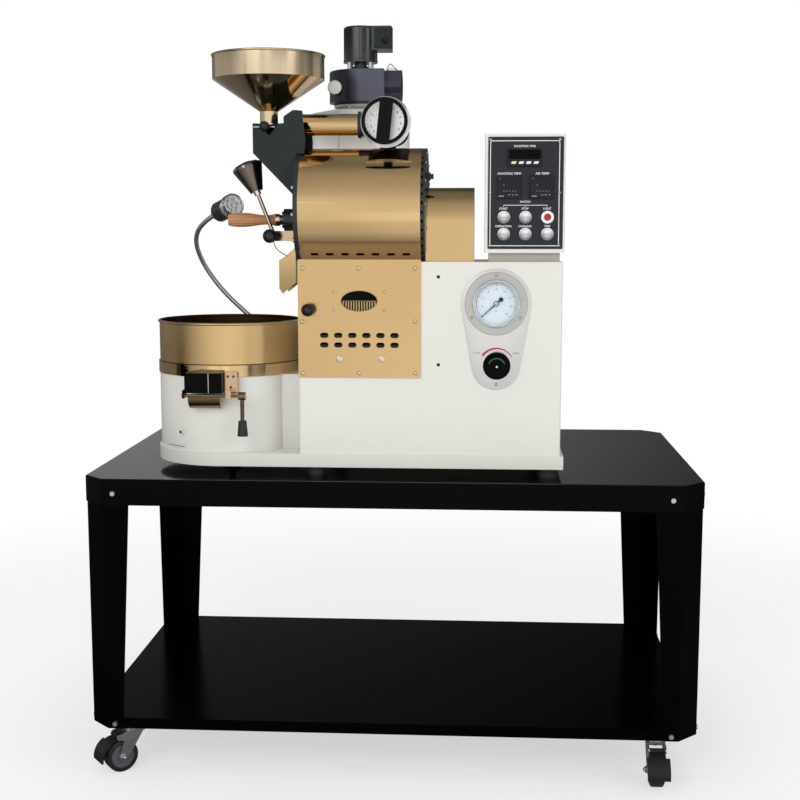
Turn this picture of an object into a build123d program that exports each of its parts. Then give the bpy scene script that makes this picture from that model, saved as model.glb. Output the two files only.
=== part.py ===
"""Electric drum coffee roaster on a wheeled steel cart, in millimetres.

X runs to the right, Y runs away from the operator and Z up. The origin is the floor under
the middle of the cart. The drum lies along X over a heater cabinet; beans fall from the
hopper into its left end, leave through the lifting gate there and cool in the round bin.
"""
from build123d import *
from math import cos, pi, radians, sin, sqrt, tan
import os

os.makedirs("parts", exist_ok=True)

# Clearances
fit = 0.05            # radial clearance of a running shaft in its bore
gap = 0.3             # air between parts that slide or turn past each other

# Cart
cart_w = 1208.0
cart_d = 700.0
cart_h = 595.0        # floor to the work top
cart_corner = 42.0    # plan cut across each corner
cart_sheet = 2.0
apron_h = 52.0        # depth of the folded rim of the top
shelf_lip = 22.0
leg_wing_top = 52.0   # width of a leg's flat face under the top
leg_wing_foot = 30.0  # and at the shelf
caster_h = 90.0       # floor to the underside of the shelf rim
bolt_r = 6.0
bolt_head = 4.0

# Casters
wheel_r = 32.5
wheel_w = 27.0
axle_r = 4.0
caster_trail = 26.0
caster_in_x = 84.0    # swivel axis in from the cart's side
caster_in_y = 28.0    # and in from its front
fork_t = 2.5
fork_crown = 4.0
race_h = 6.0
king_r = 5.0
pedal_open = 12.0     # degrees the brake pedal stands off the tyre
pedal_w = 44.0
turn_fl = -52.0       # how far each caster has swivelled, from trailing forwards
turn_fr = 0.0
turn_rl = 155.0
turn_rr = 180.0

# Base and cabinet
foot_h = 17.0
foot_r = 19.0
plinth_h = 26.0
plinth_wall = 3.0
front_y = -290.0      # front face of the heater panel
panel_t = 2.0
shell_t = 2.0
cab_left = -181.0
cab_right = 328.0
cab_depth = 270.0
cab_height = 375.0
plinth_back = 222.0

# Levels that follow: top sheet of the cart, shelf, plinth, cabinet foot and cabinet top
top_under = cart_h - cart_sheet
shelf_z = caster_h + shelf_lip
plinth_z = cart_h + foot_h
cab_z = plinth_z + plinth_h
cab_top = cab_z + cab_height

# Drum
drum_y = -170.0
drum_z = cab_top + 101.6
cover_r = 120.0
cover_t = 2.0
cover_left = -181.0
cover_right = 55.0
drum_r = 98.0
drum_wall = 3.0
drum_lip = 10.0
shaft_r = 12.0
face_t = 9.0          # thickness of the cast face plate
ring_w = 6.0          # slotted ring behind the cover
rear_t = 3.0
drive_r = 72.0        # crown radius of the drive cover
drive_z = drum_z - 29.6
drive_len = 94.0

# Cooling
cool_x = -342.0
cool_y = -143.0
house_r = 144.0
house_wall = 2.5
house_h = 150.0
bin_z = cab_z + house_h   # foot of the bin
nose_r = 148.0
bin_r = 143.5
bin_wall = 1.5
bin_h = 106.0
lip_r = 2.8
band_r = 146.0
band_h = 23.0
ledge_h = 21.0        # bin foot to the top of its screen ledge
screen_t = 2.0
spindle_r = 8.0
blower_shaft_r = 6.0

# Bean gate of the bin
hood_x0 = -400.0
hood_x1 = -326.5
hood_y = -320.0
hood_z0 = bin_z - 28.0
hood_z1 = bin_z + 11.0
rod_r = 3.0
rod_y = -321.0
rod_z = bin_z - 32.6
flap_r = 30.0

# Feeding
hopper_x = -252.0
hopper_r = 111.0
hopper_rim_z = cab_top + 404.0
hopper_wall_z = cab_top + 356.0
hopper_throat_z = cab_top + 294.0
neck_r = 18.0
hopper_t = 1.5
chute_half = 60.0     # half the depth of the feed chute
chute_t = 2.0
chute_top_z = cab_top + 267.0
chute_low_z = cab_top + 210.0
chute_toe_z = cab_top + 122.0
slide_t = 2.0

# Smoke path
pipe_z = cab_top + 267.5
pipe_r = 21.5
pipe_t = 1.5
damper_x = -14.0
damper_r = 40.0
damper_wall = 4.0
damper_front = -236.0
damper_back = -120.0
damper_shaft_r = 5.0
dial_r = 49.0
duct_r = 24.0
cyc_x = -94.0
cyc_y = 110.0
cyc_r = 107.0
cyc_t = 2.0
cyc_top_z = cab_top + 312.0
cyc_neck_r = 48.0
fan_z = cab_top + 334.0
fan_h = 67.6
fan_t = 3.0
volute_r = 58.0
volute_step = 9.0
spigot_r = 33.0
spigot_len = 35.0
motor_r = 36.7
motor_gap = 20.4
motor_h = 76.0
fan_shaft_r = 5.0

# Discharge
lever_x = -240.0
lever_z = cab_top + 49.0
lever_tilt = 21.3     # degrees the knob leans to the left of upright
lever_swing = 36.0    # degrees it is pulled over to open the gate
rod_len = 98.0         # lever axis to the end of its rod
collar_r = 7.0
cone_from = 94.0       # lever axis to the narrow end of the conical knob
cone_len = 50.0
cone_r0 = 13.0
cone_r1 = 30.5
cone_dome = 12.0
ball_r = 12.5          # ball knobs of the shutter and the lever shaft
crank = 30.0          # lever axis to the lifting pin
pin_r = 3.0
lever_shaft_r = 5.0
gate_half = 36.0
gate_z0 = cab_top + 7.0
gate_z1 = cab_top + 37.0
gate_t = 3.0
rail_w = 5.0
rail_lip = 2.0         # how far the rails hook over the gate's edges

# Sampler
trier_z = cab_top + 81.0
trier_r = 10.0
trier_flange_r = 22.0
trier_flange_x = -223.0

# Controls
box_left = 178.0
box_right = 330.0
box_z0 = cab_top + 17.5
box_z1 = cab_top + 241.0
box_depth = 139.0
box_front = -289.0
plate_left = 184.0
plate_right = 326.0
plate_z0 = box_z0 + 7.5
plate_z1 = box_z1 - 6.0
plate_t = 2.0
button_r = 9.0
bezel_r = 12.25
bezel_h = 3.0
button_travel = 2.5
button_cols = (214.4, 255.3, 296.9)
button_rows = (box_z0 + 67.3, box_z0 + 35.5)
gauge_x = 201.8
gauge_z = cab_top - 79.0
gauge_plate_r = 67.0
gauge_flange_r = 58.0
gauge_bezel_r = 50.0
gauge_glass_r = 46.0
dial_depth = 12.0
spindle_pin_r = 2.0
knob_x = 203.5
knob_z = gauge_z - 120.0
knob_end_r = 46.6
knob_r = 26.5
knob_shaft_r = 3.0

# Faces that follow
cab_front = front_y + panel_t
cab_back = cab_front + cab_depth
panel_right = 57.0
panel_z0 = cab_top - 224.0
panel_z1 = cab_top + 4.6
rear_x = cover_right + ring_w
face_x = cover_left - face_t
motor_z = fan_z + fan_h
plate_y = box_front - plate_t


def facing(y):
    """Upright plane at depth y, as the operator sees it: local x is X, local y is Z."""
    return Plane.XZ.offset(-y)


def across(x):
    """Upright plane at x, seen from the right: local x is Y, local y is Z."""
    return Plane.YZ.offset(x)


def level(z, x=0.0, y=0.0):
    """Level plane at height z with its origin over x, y."""
    return Plane(origin=(x, y, z))


def upright(x, y):
    return Axis((x, y, 0), (0, 0, 1))


def depthwise(x, z):
    return Axis((x, 0, z), (0, 1, 0))


def sideways(y, z):
    return Axis((0, y, z), (1, 0, 0))


def inset(cut, wall):
    """Corner cut of an outline moved inwards by a wall."""
    return cut - wall * (2 - sqrt(2))


# Cart
# Folded steel top: an upturned tray with cut corners and a soft fold along its edge.
with BuildPart() as cart_top:
    with BuildSketch(level(cart_h - apron_h)) as top_plan:
        Rectangle(cart_w, cart_d)
        chamfer(top_plan.vertices(), cart_corner)
    extrude(amount=apron_h)
    fillet(cart_top.faces().sort_by(Axis.Z)[-1].edges(), 1.5 * cart_sheet)
    offset(amount=-cart_sheet, openings=cart_top.faces().sort_by(Axis.Z)[0])
cart_top.part.label = "cart_top"
export_step(cart_top.part, "parts/cart_top.step")

# The shelf is the same tray, shallower, standing inside the four legs.
shelf_w = cart_w - 4 * cart_sheet
shelf_d = cart_d - 4 * cart_sheet
shelf_cut = inset(cart_corner, 2 * cart_sheet)
with BuildPart() as cart_shelf:
    with BuildSketch(level(caster_h)) as shelf_plan:
        Rectangle(shelf_w, shelf_d)
        chamfer(shelf_plan.vertices(), shelf_cut)
    extrude(amount=shelf_lip)
    offset(amount=-cart_sheet, openings=cart_shelf.faces().sort_by(Axis.Z)[0])
cart_shelf.part.label = "cart_shelf"
export_step(cart_shelf.part, "parts/cart_shelf.step")

# Each leg is one sheet folded twice round a corner; its two wings taper to the foot.
leg_x = -cart_w / 2 + cart_sheet
leg_y = -cart_d / 2 + cart_sheet
leg_cut = inset(cart_corner, cart_sheet)
leg_top = cart_h - 3 * cart_sheet
inner_cut = inset(leg_cut, cart_sheet)
with BuildPart() as cart_legs:
    with BuildSketch(level(caster_h)):
        Polygon(
            (leg_x + leg_cut + leg_wing_top, leg_y),
            (leg_x + leg_cut, leg_y),
            (leg_x, leg_y + leg_cut),
            (leg_x, leg_y + leg_cut + leg_wing_top),
            (leg_x + cart_sheet, leg_y + leg_cut + leg_wing_top),
            (leg_x + cart_sheet, leg_y + cart_sheet + inner_cut),
            (leg_x + cart_sheet + inner_cut, leg_y + cart_sheet),
            (leg_x + leg_cut + leg_wing_top, leg_y + cart_sheet),
        )
    extrude(amount=leg_top - caster_h)
    for plane, start in ((facing(leg_y + cart_sheet / 2), leg_x), (across(leg_x + cart_sheet / 2), leg_y)):
        with BuildSketch(plane):
            Polygon(
                (start + leg_cut + leg_wing_foot, caster_h),
                (start + leg_cut + leg_wing_top, caster_h),
                (start + leg_cut + leg_wing_top, leg_top - apron_h),
            )
        extrude(amount=cart_sheet, both=True, mode=Mode.SUBTRACT)
    mirror(about=Plane.YZ)
    mirror(about=Plane.XZ)
cart_legs.part.label = "cart_legs"
export_step(cart_legs.part, "parts/cart_legs.step")

# Button-head bolts through every wing, at the apron of the top and at the shelf.
bolt_z_top = cart_h - apron_h * 0.55
bolt_z_foot = caster_h + shelf_lip * 0.45
bolt_in_top = cart_corner + leg_wing_top * 0.45
bolt_in_foot = cart_corner + leg_wing_foot * 0.5
with BuildPart() as cart_bolts:
    for face, along, z in (
        (0.0, bolt_in_top, bolt_z_top),
        (cart_sheet, bolt_in_foot, bolt_z_foot),
    ):
        with BuildSketch(facing(-cart_d / 2 + face)):
            with Locations((-cart_w / 2 + along, z)):
                Circle(bolt_r)
        extrude(amount=bolt_head, taper=20)
        with BuildSketch(across(-cart_w / 2 + face)):
            with Locations((-cart_d / 2 + along, z)):
                Circle(bolt_r)
        extrude(amount=-bolt_head, taper=20)
    mirror(about=Plane.YZ)
    mirror(about=Plane.XZ)
cart_bolts.part.label = "cart_bolts"
export_step(cart_bolts.part, "parts/cart_bolts.step")

# Casters
swivel_x = cart_w / 2 - caster_in_x
swivel_y = cart_d / 2 - caster_in_y
race_z = caster_h - race_h
crown_top = race_z - gap
crown_low = crown_top - fork_crown
nut_top = crown_low - gap
nut_h = 5.0
fork_gap = wheel_w + 3.0
fork_out = fork_gap / 2 + fork_t
hinge_a = radians(100.0)
hinge_reach = wheel_r + 9.5
hinge_y = -caster_trail + hinge_reach * cos(hinge_a)
hinge_z = wheel_r + hinge_reach * sin(hinge_a)

# Corner plates under the shelf with the fixed bearing race and king pin of each caster.
plate_x = cart_w / 2 - 3 * cart_sheet
plate_yy = cart_d / 2 - 3 * cart_sheet
plate_cut = inset(cart_corner, 3 * cart_sheet)
corner_w = 2 * caster_in_x - 3 * cart_sheet
corner_d = 86.0
with BuildPart() as caster_plates:
    with BuildSketch(level(caster_h)):
        Polygon(
            (plate_x - corner_w, plate_yy),
            (plate_x - plate_cut, plate_yy),
            (plate_x, plate_yy - plate_cut),
            (plate_x, plate_yy - corner_d),
            (plate_x - corner_w, plate_yy - corner_d),
        )
    extrude(amount=3.0)
    with BuildSketch(level(race_z, swivel_x, swivel_y)):
        Circle(20.0)
    extrude(amount=race_h)
    with BuildSketch(level(nut_top - nut_h, swivel_x, swivel_y)):
        Circle(king_r)
    extrude(amount=race_z - nut_top + nut_h)
    with BuildSketch(level(nut_top - nut_h, swivel_x, swivel_y)):
        Circle(9.0)
    extrude(amount=nut_h)
    mirror(about=Plane.YZ)
    mirror(about=Plane.XZ)
caster_plates.part.label = "caster_plates"
export_step(caster_plates.part, "parts/caster_plates.step")


def caster_fork(braked):
    """Pressed fork with its axle, round the swivel axis; the wheel trails towards -Y."""
    with BuildPart() as fork:
        with BuildSketch(level(crown_low)):
            Rectangle(2 * fork_out, 2 * 20.0)
            Circle(king_r + fit, mode=Mode.SUBTRACT)
        extrude(amount=fork_crown)
        with BuildSketch(across(-fork_out)):
            with Locations((-caster_trail, wheel_r)):
                Circle(9.0)
            with Locations((-2.0, crown_low + 1.0)):
                Rectangle(36.0, 2.0)
            make_hull()
            if braked:
                with Locations((hinge_y, hinge_z)):
                    Circle(6.0)
                with BuildLine():
                    Polyline(
                        (hinge_y, hinge_z + 6.0), (-18.0, crown_top), (-12.0, 60.0),
                        (hinge_y + 2, hinge_z - 6.0), (hinge_y, hinge_z + 6.0),
                    )
                make_face()
        extrude(amount=fork_t)
        mirror(about=Plane.YZ)
        with BuildSketch(across(-fork_out - 4.5)):
            with Locations((-caster_trail, wheel_r)):
                RegularPolygon(6.5, 6)
        extrude(amount=4.5)
        mirror(about=Plane.YZ)
        with BuildSketch(across(-fork_out - 6.0)):
            with Locations((-caster_trail, wheel_r)):
                Circle(axle_r)
        extrude(amount=2 * (fork_out + 6.0))
        if braked:
            with BuildSketch(across(-fork_out)):
                with Locations((hinge_y, hinge_z)):
                    Circle(2.5)
            extrude(amount=2 * fork_out)
    return fork.part


def caster_wheel():
    """Rubber tyre on a moulded core, bored for the axle."""
    half = wheel_w / 2
    hub = fork_gap / 2 - gap
    bore = axle_r + fit
    with BuildPart() as wheel:
        with BuildSketch(facing(-caster_trail)):
            with Locations((0, wheel_r)):
                Polygon(
                    (-hub, bore), (-hub, 10.0), (-half + 3, 12.0), (-half + 3, wheel_r * 0.72),
                    (-half, wheel_r * 0.76), (-half, wheel_r - 4), (-half + 3, wheel_r),
                    (half - 3, wheel_r), (half, wheel_r - 4), (half, wheel_r * 0.76),
                    (half - 3, wheel_r * 0.72), (half - 3, 12.0), (hub, 10.0), (hub, bore),
                )
        revolve(axis=sideways(-caster_trail, wheel_r))
    return wheel.part


def caster_brake():
    """Foot pedal hooked over the wheel, standing open on its pin in the fork."""
    opened = radians(pedal_open)
    ry, rz = -caster_trail - hinge_y, wheel_r - hinge_z
    mid_y = hinge_y + ry * cos(opened) + rz * sin(opened)
    mid_z = hinge_z - ry * sin(opened) + rz * cos(opened)
    in_r = wheel_r + 3.5
    out_r = in_r + 3.5
    # The neck hugs the knuckle between the cheeks; the shield spreads wider outside them.
    with BuildPart() as brake:
        for width, a0, a1 in ((fork_gap - 2 * gap, 102.0, 132.0), (pedal_w, 130.0, 196.0)):
            a0, a1 = a0 - pedal_open, a1 - pedal_open
            b0, b1 = radians(a0), radians(a1)
            with BuildSketch(across(-width / 2)):
                with BuildLine():
                    CenterArc((mid_y, mid_z), out_r, a0, a1 - a0)
                    CenterArc((mid_y, mid_z), in_r, a0, a1 - a0)
                    for b in (b0, b1):
                        Line(
                            (mid_y + in_r * cos(b), mid_z + in_r * sin(b)),
                            (mid_y + out_r * cos(b), mid_z + out_r * sin(b)),
                        )
                make_face()
            extrude(amount=width)
        with BuildSketch(across(-fork_gap / 2 + gap)):
            with Locations((hinge_y, hinge_z)):
                Circle(5.0)
        extrude(amount=fork_gap - 2 * gap)
        with BuildSketch(across(-fork_gap / 2)):
            with Locations((hinge_y, hinge_z)):
                Circle(2.5 + fit)
        extrude(amount=fork_gap, mode=Mode.SUBTRACT)
    return brake.part


# A caster is made round its own swivel axis and then turned and set under its corner.
for corner, sx, sy, turn in (
    ("fl", -1, -1, turn_fl), ("fr", 1, -1, turn_fr), ("rl", -1, 1, turn_rl), ("rr", 1, 1, turn_rr),
):
    seat = Location((sx * swivel_x, sy * swivel_y, 0), (0, 0, turn))
    pieces = {"fork": caster_fork(sy < 0), "wheel": caster_wheel()}
    if sy < 0:
        pieces["brake"] = caster_brake()
    for kind, piece in pieces.items():
        placed = seat * piece
        placed.label = f"caster_{kind}_{corner}"
        export_step(placed, f"parts/{placed.label}.step")

# Base
# Plinth tray: a rounded nose under the cooling bin, square behind the cabinet.
with BuildPart() as base_plinth:
    with BuildSketch(level(plinth_z)) as plinth_plan:
        with Locations((cool_x, cool_y)):
            Circle(nose_r)
        with Locations(((cool_x + cab_left) / 2, cool_y)):
            Rectangle(cab_left - cool_x + 20, 2 * nose_r)
        with Locations(((cab_left + cab_right + 6) / 2, (cool_y - nose_r + plinth_back) / 2)):
            Rectangle(cab_right + 6 - cab_left, plinth_back - cool_y + nose_r)
    extrude(amount=plinth_h)
    with BuildSketch(level(plinth_z)) as plinth_inside:
        with Locations((cool_x, cool_y)):
            Circle(nose_r - plinth_wall)
        with Locations(((cool_x + cab_left) / 2, cool_y)):
            Rectangle(cab_left - cool_x + 40, 2 * (nose_r - plinth_wall))
        with Locations(((cab_left + cab_right + 6) / 2, (cool_y - nose_r + plinth_back) / 2)):
            Rectangle(
                cab_right + 6 - cab_left - 2 * plinth_wall,
                plinth_back - cool_y + nose_r - 2 * plinth_wall,
            )
    extrude(amount=plinth_h - plinth_wall, mode=Mode.SUBTRACT)
base_plinth.part.label = "base_plinth"
export_step(base_plinth.part, "parts/base_plinth.step")

# Rubber feet on levelling studs that reach the plinth's top sheet.
foot_in = foot_r + plinth_wall + 8.0
foot_xs = (cab_left + foot_in, cab_right + 6 - foot_in)
foot_ys = (cool_y - nose_r + foot_in, plinth_back - foot_in)
with BuildPart() as rubber_feet:
    with BuildSketch(level(cart_h)):
        with Locations((cool_x, cool_y), *[(x, y) for x in foot_xs for y in foot_ys]):
            Circle(foot_r)
    extrude(amount=foot_h - 3.0, taper=4)
    with BuildSketch(level(cart_h + foot_h - 3.0)):
        with Locations((cool_x, cool_y), *[(x, y) for x in foot_xs for y in foot_ys]):
            Circle(6.0)
    extrude(amount=3.0 + plinth_h - plinth_wall)
rubber_feet.part.label = "rubber_feet"
export_step(rubber_feet.part, "parts/rubber_feet.step")

# Cabinet
oval_x, oval_z, oval_w, oval_h = -62.0, cab_top - 75.0, 72.0, 41.0
vent_x0, vent_pitch, vent_n = -130.2, 27.3, 6
vent_rows = (cab_top - 141.5, cab_top - 160.2)
vent_w, vent_h = 16.5, 10.0
latch_x, latch_z, latch_w, latch_h = -154.0, cab_top - 92.0, 36.0, 25.0
shutter_t = 1.5
shutter_y = cab_front + shell_t + gap          # front face of the shutter plate
shutter_z0, shutter_z1 = cab_top - 171.0, cab_top - 131.0
vent_mid = vent_x0 + vent_pitch * (vent_n - 1) / 2
shutter_x0, shutter_x1 = latch_x - 14.0, vent_mid + vent_pitch * vent_n / 2 - 6.0
shutter_travel = vent_pitch / 2

with BuildPart() as cabinet_shell:
    with BuildSketch(level(cab_z)) as cab_plan:
        with Locations(((cab_left + cab_right) / 2, (cab_front + cab_back) / 2)):
            Rectangle(cab_right - cab_left, cab_depth)
        fillet(cab_plan.vertices(), 4.0)
    extrude(amount=cab_height)
    offset(amount=-shell_t, openings=cabinet_shell.faces().sort_by(Axis.Z)[0])
    # Top sheet open under the drum.
    with BuildSketch(level(cab_top - shell_t)):
        with Locations(((cover_left + 24 + cover_right - 15) / 2, drum_y)):
            Rectangle(cover_right - 15 - cover_left - 24, 2 * 60.0)
    extrude(amount=shell_t, mode=Mode.SUBTRACT)
    # Front sheet cut behind the vents, the window and the shutter latch, and for the dials.
    with BuildSketch(facing(cab_front)):
        with Locations((vent_mid, (shutter_z0 + shutter_z1) / 2)):
            Rectangle(vent_pitch * (vent_n - 1) + vent_w + 6, 34.0)
        with Locations((oval_x, oval_z)):
            Ellipse(oval_w / 2 - 3.5, oval_h / 2 - 3.5)
        with Locations((latch_x, latch_z)):
            Rectangle(latch_w - 2, latch_h - 2)
        with Locations((gauge_x, gauge_z)):
            Circle(gauge_bezel_r - 2)
        with Locations((knob_x, knob_z)):
            Circle(8.0)
    extrude(amount=-shell_t, mode=Mode.SUBTRACT)
    # Lipped runners that hold the shutter against the inside of the front sheet.
    rail_x0, rail_x1 = latch_x + latch_w / 2 + 4.0, shutter_x1 + shutter_travel + 4.0
    for low, high, lip_low in (
        (shutter_z1 + gap, shutter_z1 + 6.0, shutter_z1 - 3.0),
        (shutter_z0 - 6.0, shutter_z0 - gap, shutter_z0 - 6.0),
    ):
        with BuildSketch(facing(cab_front + shell_t)):
            with Locations(((rail_x0 + rail_x1) / 2, (low + high) / 2)):
                Rectangle(rail_x1 - rail_x0, high - low)
        extrude(amount=-(2 * gap + shutter_t + 1.5))
        with BuildSketch(facing(cab_front + shell_t + 2 * gap + shutter_t)):
            with Locations(((rail_x0 + rail_x1) / 2, lip_low + 4.5)):
                Rectangle(rail_x1 - rail_x0, 9.0)
        extrude(amount=-1.5)
cabinet_shell.part.label = "cabinet_shell"
export_step(cabinet_shell.part, "parts/cabinet_shell.step")

with BuildPart() as heater_panel:
    with BuildSketch(facing(cab_front)):
        with Locations(((cab_left + panel_right) / 2, (panel_z0 + panel_z1) / 2)):
            RectangleRounded(panel_right - cab_left, panel_z1 - panel_z0, 2.0)
        with Locations((oval_x, oval_z)):
            Ellipse(oval_w / 2 - 3.5, oval_h / 2 - 3.5, mode=Mode.SUBTRACT)
        for row in vent_rows:
            with Locations((vent_mid, row)):
                with GridLocations(vent_pitch, 0, vent_n, 1):
                    SlotOverall(vent_w, vent_h, mode=Mode.SUBTRACT)
        with Locations((latch_x, latch_z)):
            Rectangle(latch_w, latch_h, mode=Mode.SUBTRACT)
    extrude(amount=panel_t)
heater_panel.part.label = "heater_panel"
export_step(heater_panel.part, "parts/heater_panel.step")

# Oval sight window: raised rim, set-back pane, and upright slats over its lower half.
with BuildPart() as sight_window:
    with BuildSketch(facing(front_y)):
        with Locations((oval_x, oval_z)):
            Ellipse(oval_w / 2, oval_h / 2)
            Ellipse(oval_w / 2 - 5, oval_h / 2 - 5, mode=Mode.SUBTRACT)
    extrude(amount=3.0)
    with BuildSketch(facing(front_y)):
        with Locations((oval_x, oval_z)):
            Ellipse(oval_w / 2 - 3.5, oval_h / 2 - 3.5)
    extrude(amount=-3.0)
    with BuildSketch(facing(front_y)):
        with Locations((oval_x, oval_z - oval_h / 4)):
            with GridLocations(5.0, 0, 11, 1):
                Rectangle(2.2, oval_h / 2)
        with Locations((oval_x, oval_z)):
            Ellipse(oval_w / 2 - 5, oval_h / 2 - 5, mode=Mode.INTERSECT)
    extrude(amount=1.5)
sight_window.part.label = "sight_window"
export_step(sight_window.part, "parts/sight_window.step")

# Air shutter behind the vents, slid along by the ball knob.
stem_x = latch_x - 6.0
with BuildPart() as air_shutter:
    with BuildSketch(facing(shutter_y)):
        with Locations(((shutter_x0 + shutter_x1) / 2, (shutter_z0 + shutter_z1) / 2)):
            Rectangle(shutter_x1 - shutter_x0, shutter_z1 - shutter_z0)
        with Locations((stem_x + 2.0, (shutter_z0 + latch_z + 10) / 2)):
            Rectangle(20.0, latch_z + 10 - shutter_z0)
        for row in vent_rows:
            with Locations((vent_mid, row + 3.5)):
                with GridLocations(vent_pitch, 0, vent_n, 1):
                    SlotOverall(vent_w - 4, vent_h - 3, mode=Mode.SUBTRACT)
    extrude(amount=-shutter_t)
    with BuildSketch(facing(shutter_y)):
        with Locations((stem_x, latch_z)):
            Circle(3.0)
    extrude(amount=shutter_y - front_y + 8.0)
    with BuildSketch(facing(front_y - 3.0)):
        with Locations((stem_x, latch_z)):
            Circle(7.0)
    extrude(amount=2.0)
    with Locations((stem_x, front_y - 4.0 - ball_r, latch_z)):
        Sphere(ball_r)
air_shutter.part.label = "air_shutter"
export_step(air_shutter.part, "parts/air_shutter.step")

# Tubular elements across the cabinet, hung from its top sheet.
rod_x0 = cover_left + 24
rod_x1 = cover_right - 15
with BuildPart() as heating_elements:
    for x in (rod_x0 - 5.0, rod_x1 + 1.0):
        with BuildSketch(across(x)):
            with Locations((drum_y, cab_top - shell_t - 22.0)):
                Rectangle(150.0, 44.0)
        extrude(amount=4.0)
    with BuildSketch(across(rod_x0 - 1.0)):
        with Locations((drum_y, cab_top - 32.0)):
            with GridLocations(28.0, 0, 5, 1):
                Circle(5.0)
    extrude(amount=rod_x1 - rod_x0 + 2.0)
heating_elements.part.label = "heating_elements"
export_step(heating_elements.part, "parts/heating_elements.step")

# Drum
# Rolled cover, open where it meets the cabinet, slotted low along the front.
with BuildPart() as drum_cover:
    with BuildSketch(across(cover_left)):
        with Locations((drum_y, drum_z)):
            Circle(cover_r)
            Circle(cover_r - cover_t, mode=Mode.SUBTRACT)
        with Locations((drum_y, cab_top - cover_r)):
            Rectangle(2 * cover_r, 2 * cover_r, mode=Mode.SUBTRACT)
    extrude(amount=cover_right - cover_left)
    slot_a = radians(47.0)
    slot_plane = Plane(
        origin=(
            (cover_left + cover_right) / 2,
            drum_y - cover_r * cos(slot_a),
            drum_z - cover_r * sin(slot_a),
        ),
        x_dir=(1, 0, 0),
        z_dir=(0, -cos(slot_a), -sin(slot_a)),
    )
    with BuildSketch(slot_plane):
        with GridLocations(29.9, 0, 7, 1):
            SlotOverall(15.6, 7.0)
    extrude(amount=3 * cover_t, both=True, mode=Mode.SUBTRACT)
drum_cover.part.label = "drum_cover"
export_step(drum_cover.part, "parts/drum_cover.step")

# Cast face plate: closes the left end and carries chute, sampler, gate rails and lever.
port_half = 45.0
port_z0, port_z1 = chute_toe_z + 8.0, drum_z + 91.4
out_half, out_z0, out_z1 = 30.0, gate_z0 + 2.0, gate_z1 - 4.0
rail_y = gate_half + gap
ear_x = lever_x - 10.0
near_ear_y, far_ear_y = drum_y - rail_y - rail_w, drum_y + rail_y + rail_w
with BuildPart() as front_plate:
    with BuildSketch(across(face_x)):
        with Locations((drum_y, drum_z)):
            Circle(cover_r)
        with Locations((drum_y, cab_top - cover_r)):
            Rectangle(2 * cover_r, 2 * cover_r, mode=Mode.SUBTRACT)
        with Locations((drum_y, (port_z0 + port_z1) / 2)):
            Rectangle(2 * port_half, port_z1 - port_z0, mode=Mode.SUBTRACT)
        with Locations((drum_y, (out_z0 + out_z1) / 2)):
            Rectangle(2 * out_half, out_z1 - out_z0, mode=Mode.SUBTRACT)
    extrude(amount=face_t)
    # Sampler flange with four bolt heads.
    with BuildSketch(across(trier_flange_x)):
        with Locations((drum_y, trier_z)):
            Circle(trier_flange_r)
    extrude(amount=face_x - trier_flange_x - 7.0)
    with BuildSketch(across(trier_flange_x)):
        with Locations((drum_y, trier_z)):
            Circle(trier_r + 6.0)
    extrude(amount=face_x - trier_flange_x)
    with BuildSketch(across(trier_flange_x)):
        with Locations((drum_y, trier_z)):
            with PolarLocations(trier_flange_r - 3.2, 4, 45):
                RegularPolygon(3.0, 6)
    extrude(amount=-3.0)
    with BuildSketch(across(trier_flange_x)):
        with Locations((drum_y, trier_z)):
            Circle(trier_r + fit)
    extrude(amount=cover_left - trier_flange_x, mode=Mode.SUBTRACT)
    # Lipped rails that guide the discharge gate.
    for side in (-1, 1):
        with BuildSketch(across(face_x)):
            with Locations((drum_y + side * (rail_y + rail_w / 2), (gate_z0 + gate_z1 + 20) / 2)):
                Rectangle(rail_w, gate_z1 + 20 - gate_z0)
        extrude(amount=-(gate_t + 2 * gap + 2.0))
        with BuildSketch(across(face_x - gate_t - 2 * gap)):
            lip_mid = rail_y + (rail_w - rail_lip) / 2
            with Locations((drum_y + side * lip_mid, (gate_z0 + gate_z1 + 20) / 2)):
                Rectangle(rail_w + rail_lip, gate_z1 + 20 - gate_z0)
        extrude(amount=-2.0)
    # Two ears for the lever shaft.
    for y in (near_ear_y - 5.0, far_ear_y):
        with BuildSketch(facing(y + 5.0)):
            with Locations((lever_x, lever_z)):
                Circle(10.0)
            with Locations(((lever_x + face_x) / 2, lever_z)):
                Rectangle(face_x - lever_x, 20.0)
            with Locations((lever_x, lever_z)):
                Circle(lever_shaft_r + fit, mode=Mode.SUBTRACT)
        extrude(amount=5.0)
front_plate.part.label = "front_plate"
export_step(front_plate.part, "parts/front_plate.step")

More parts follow.
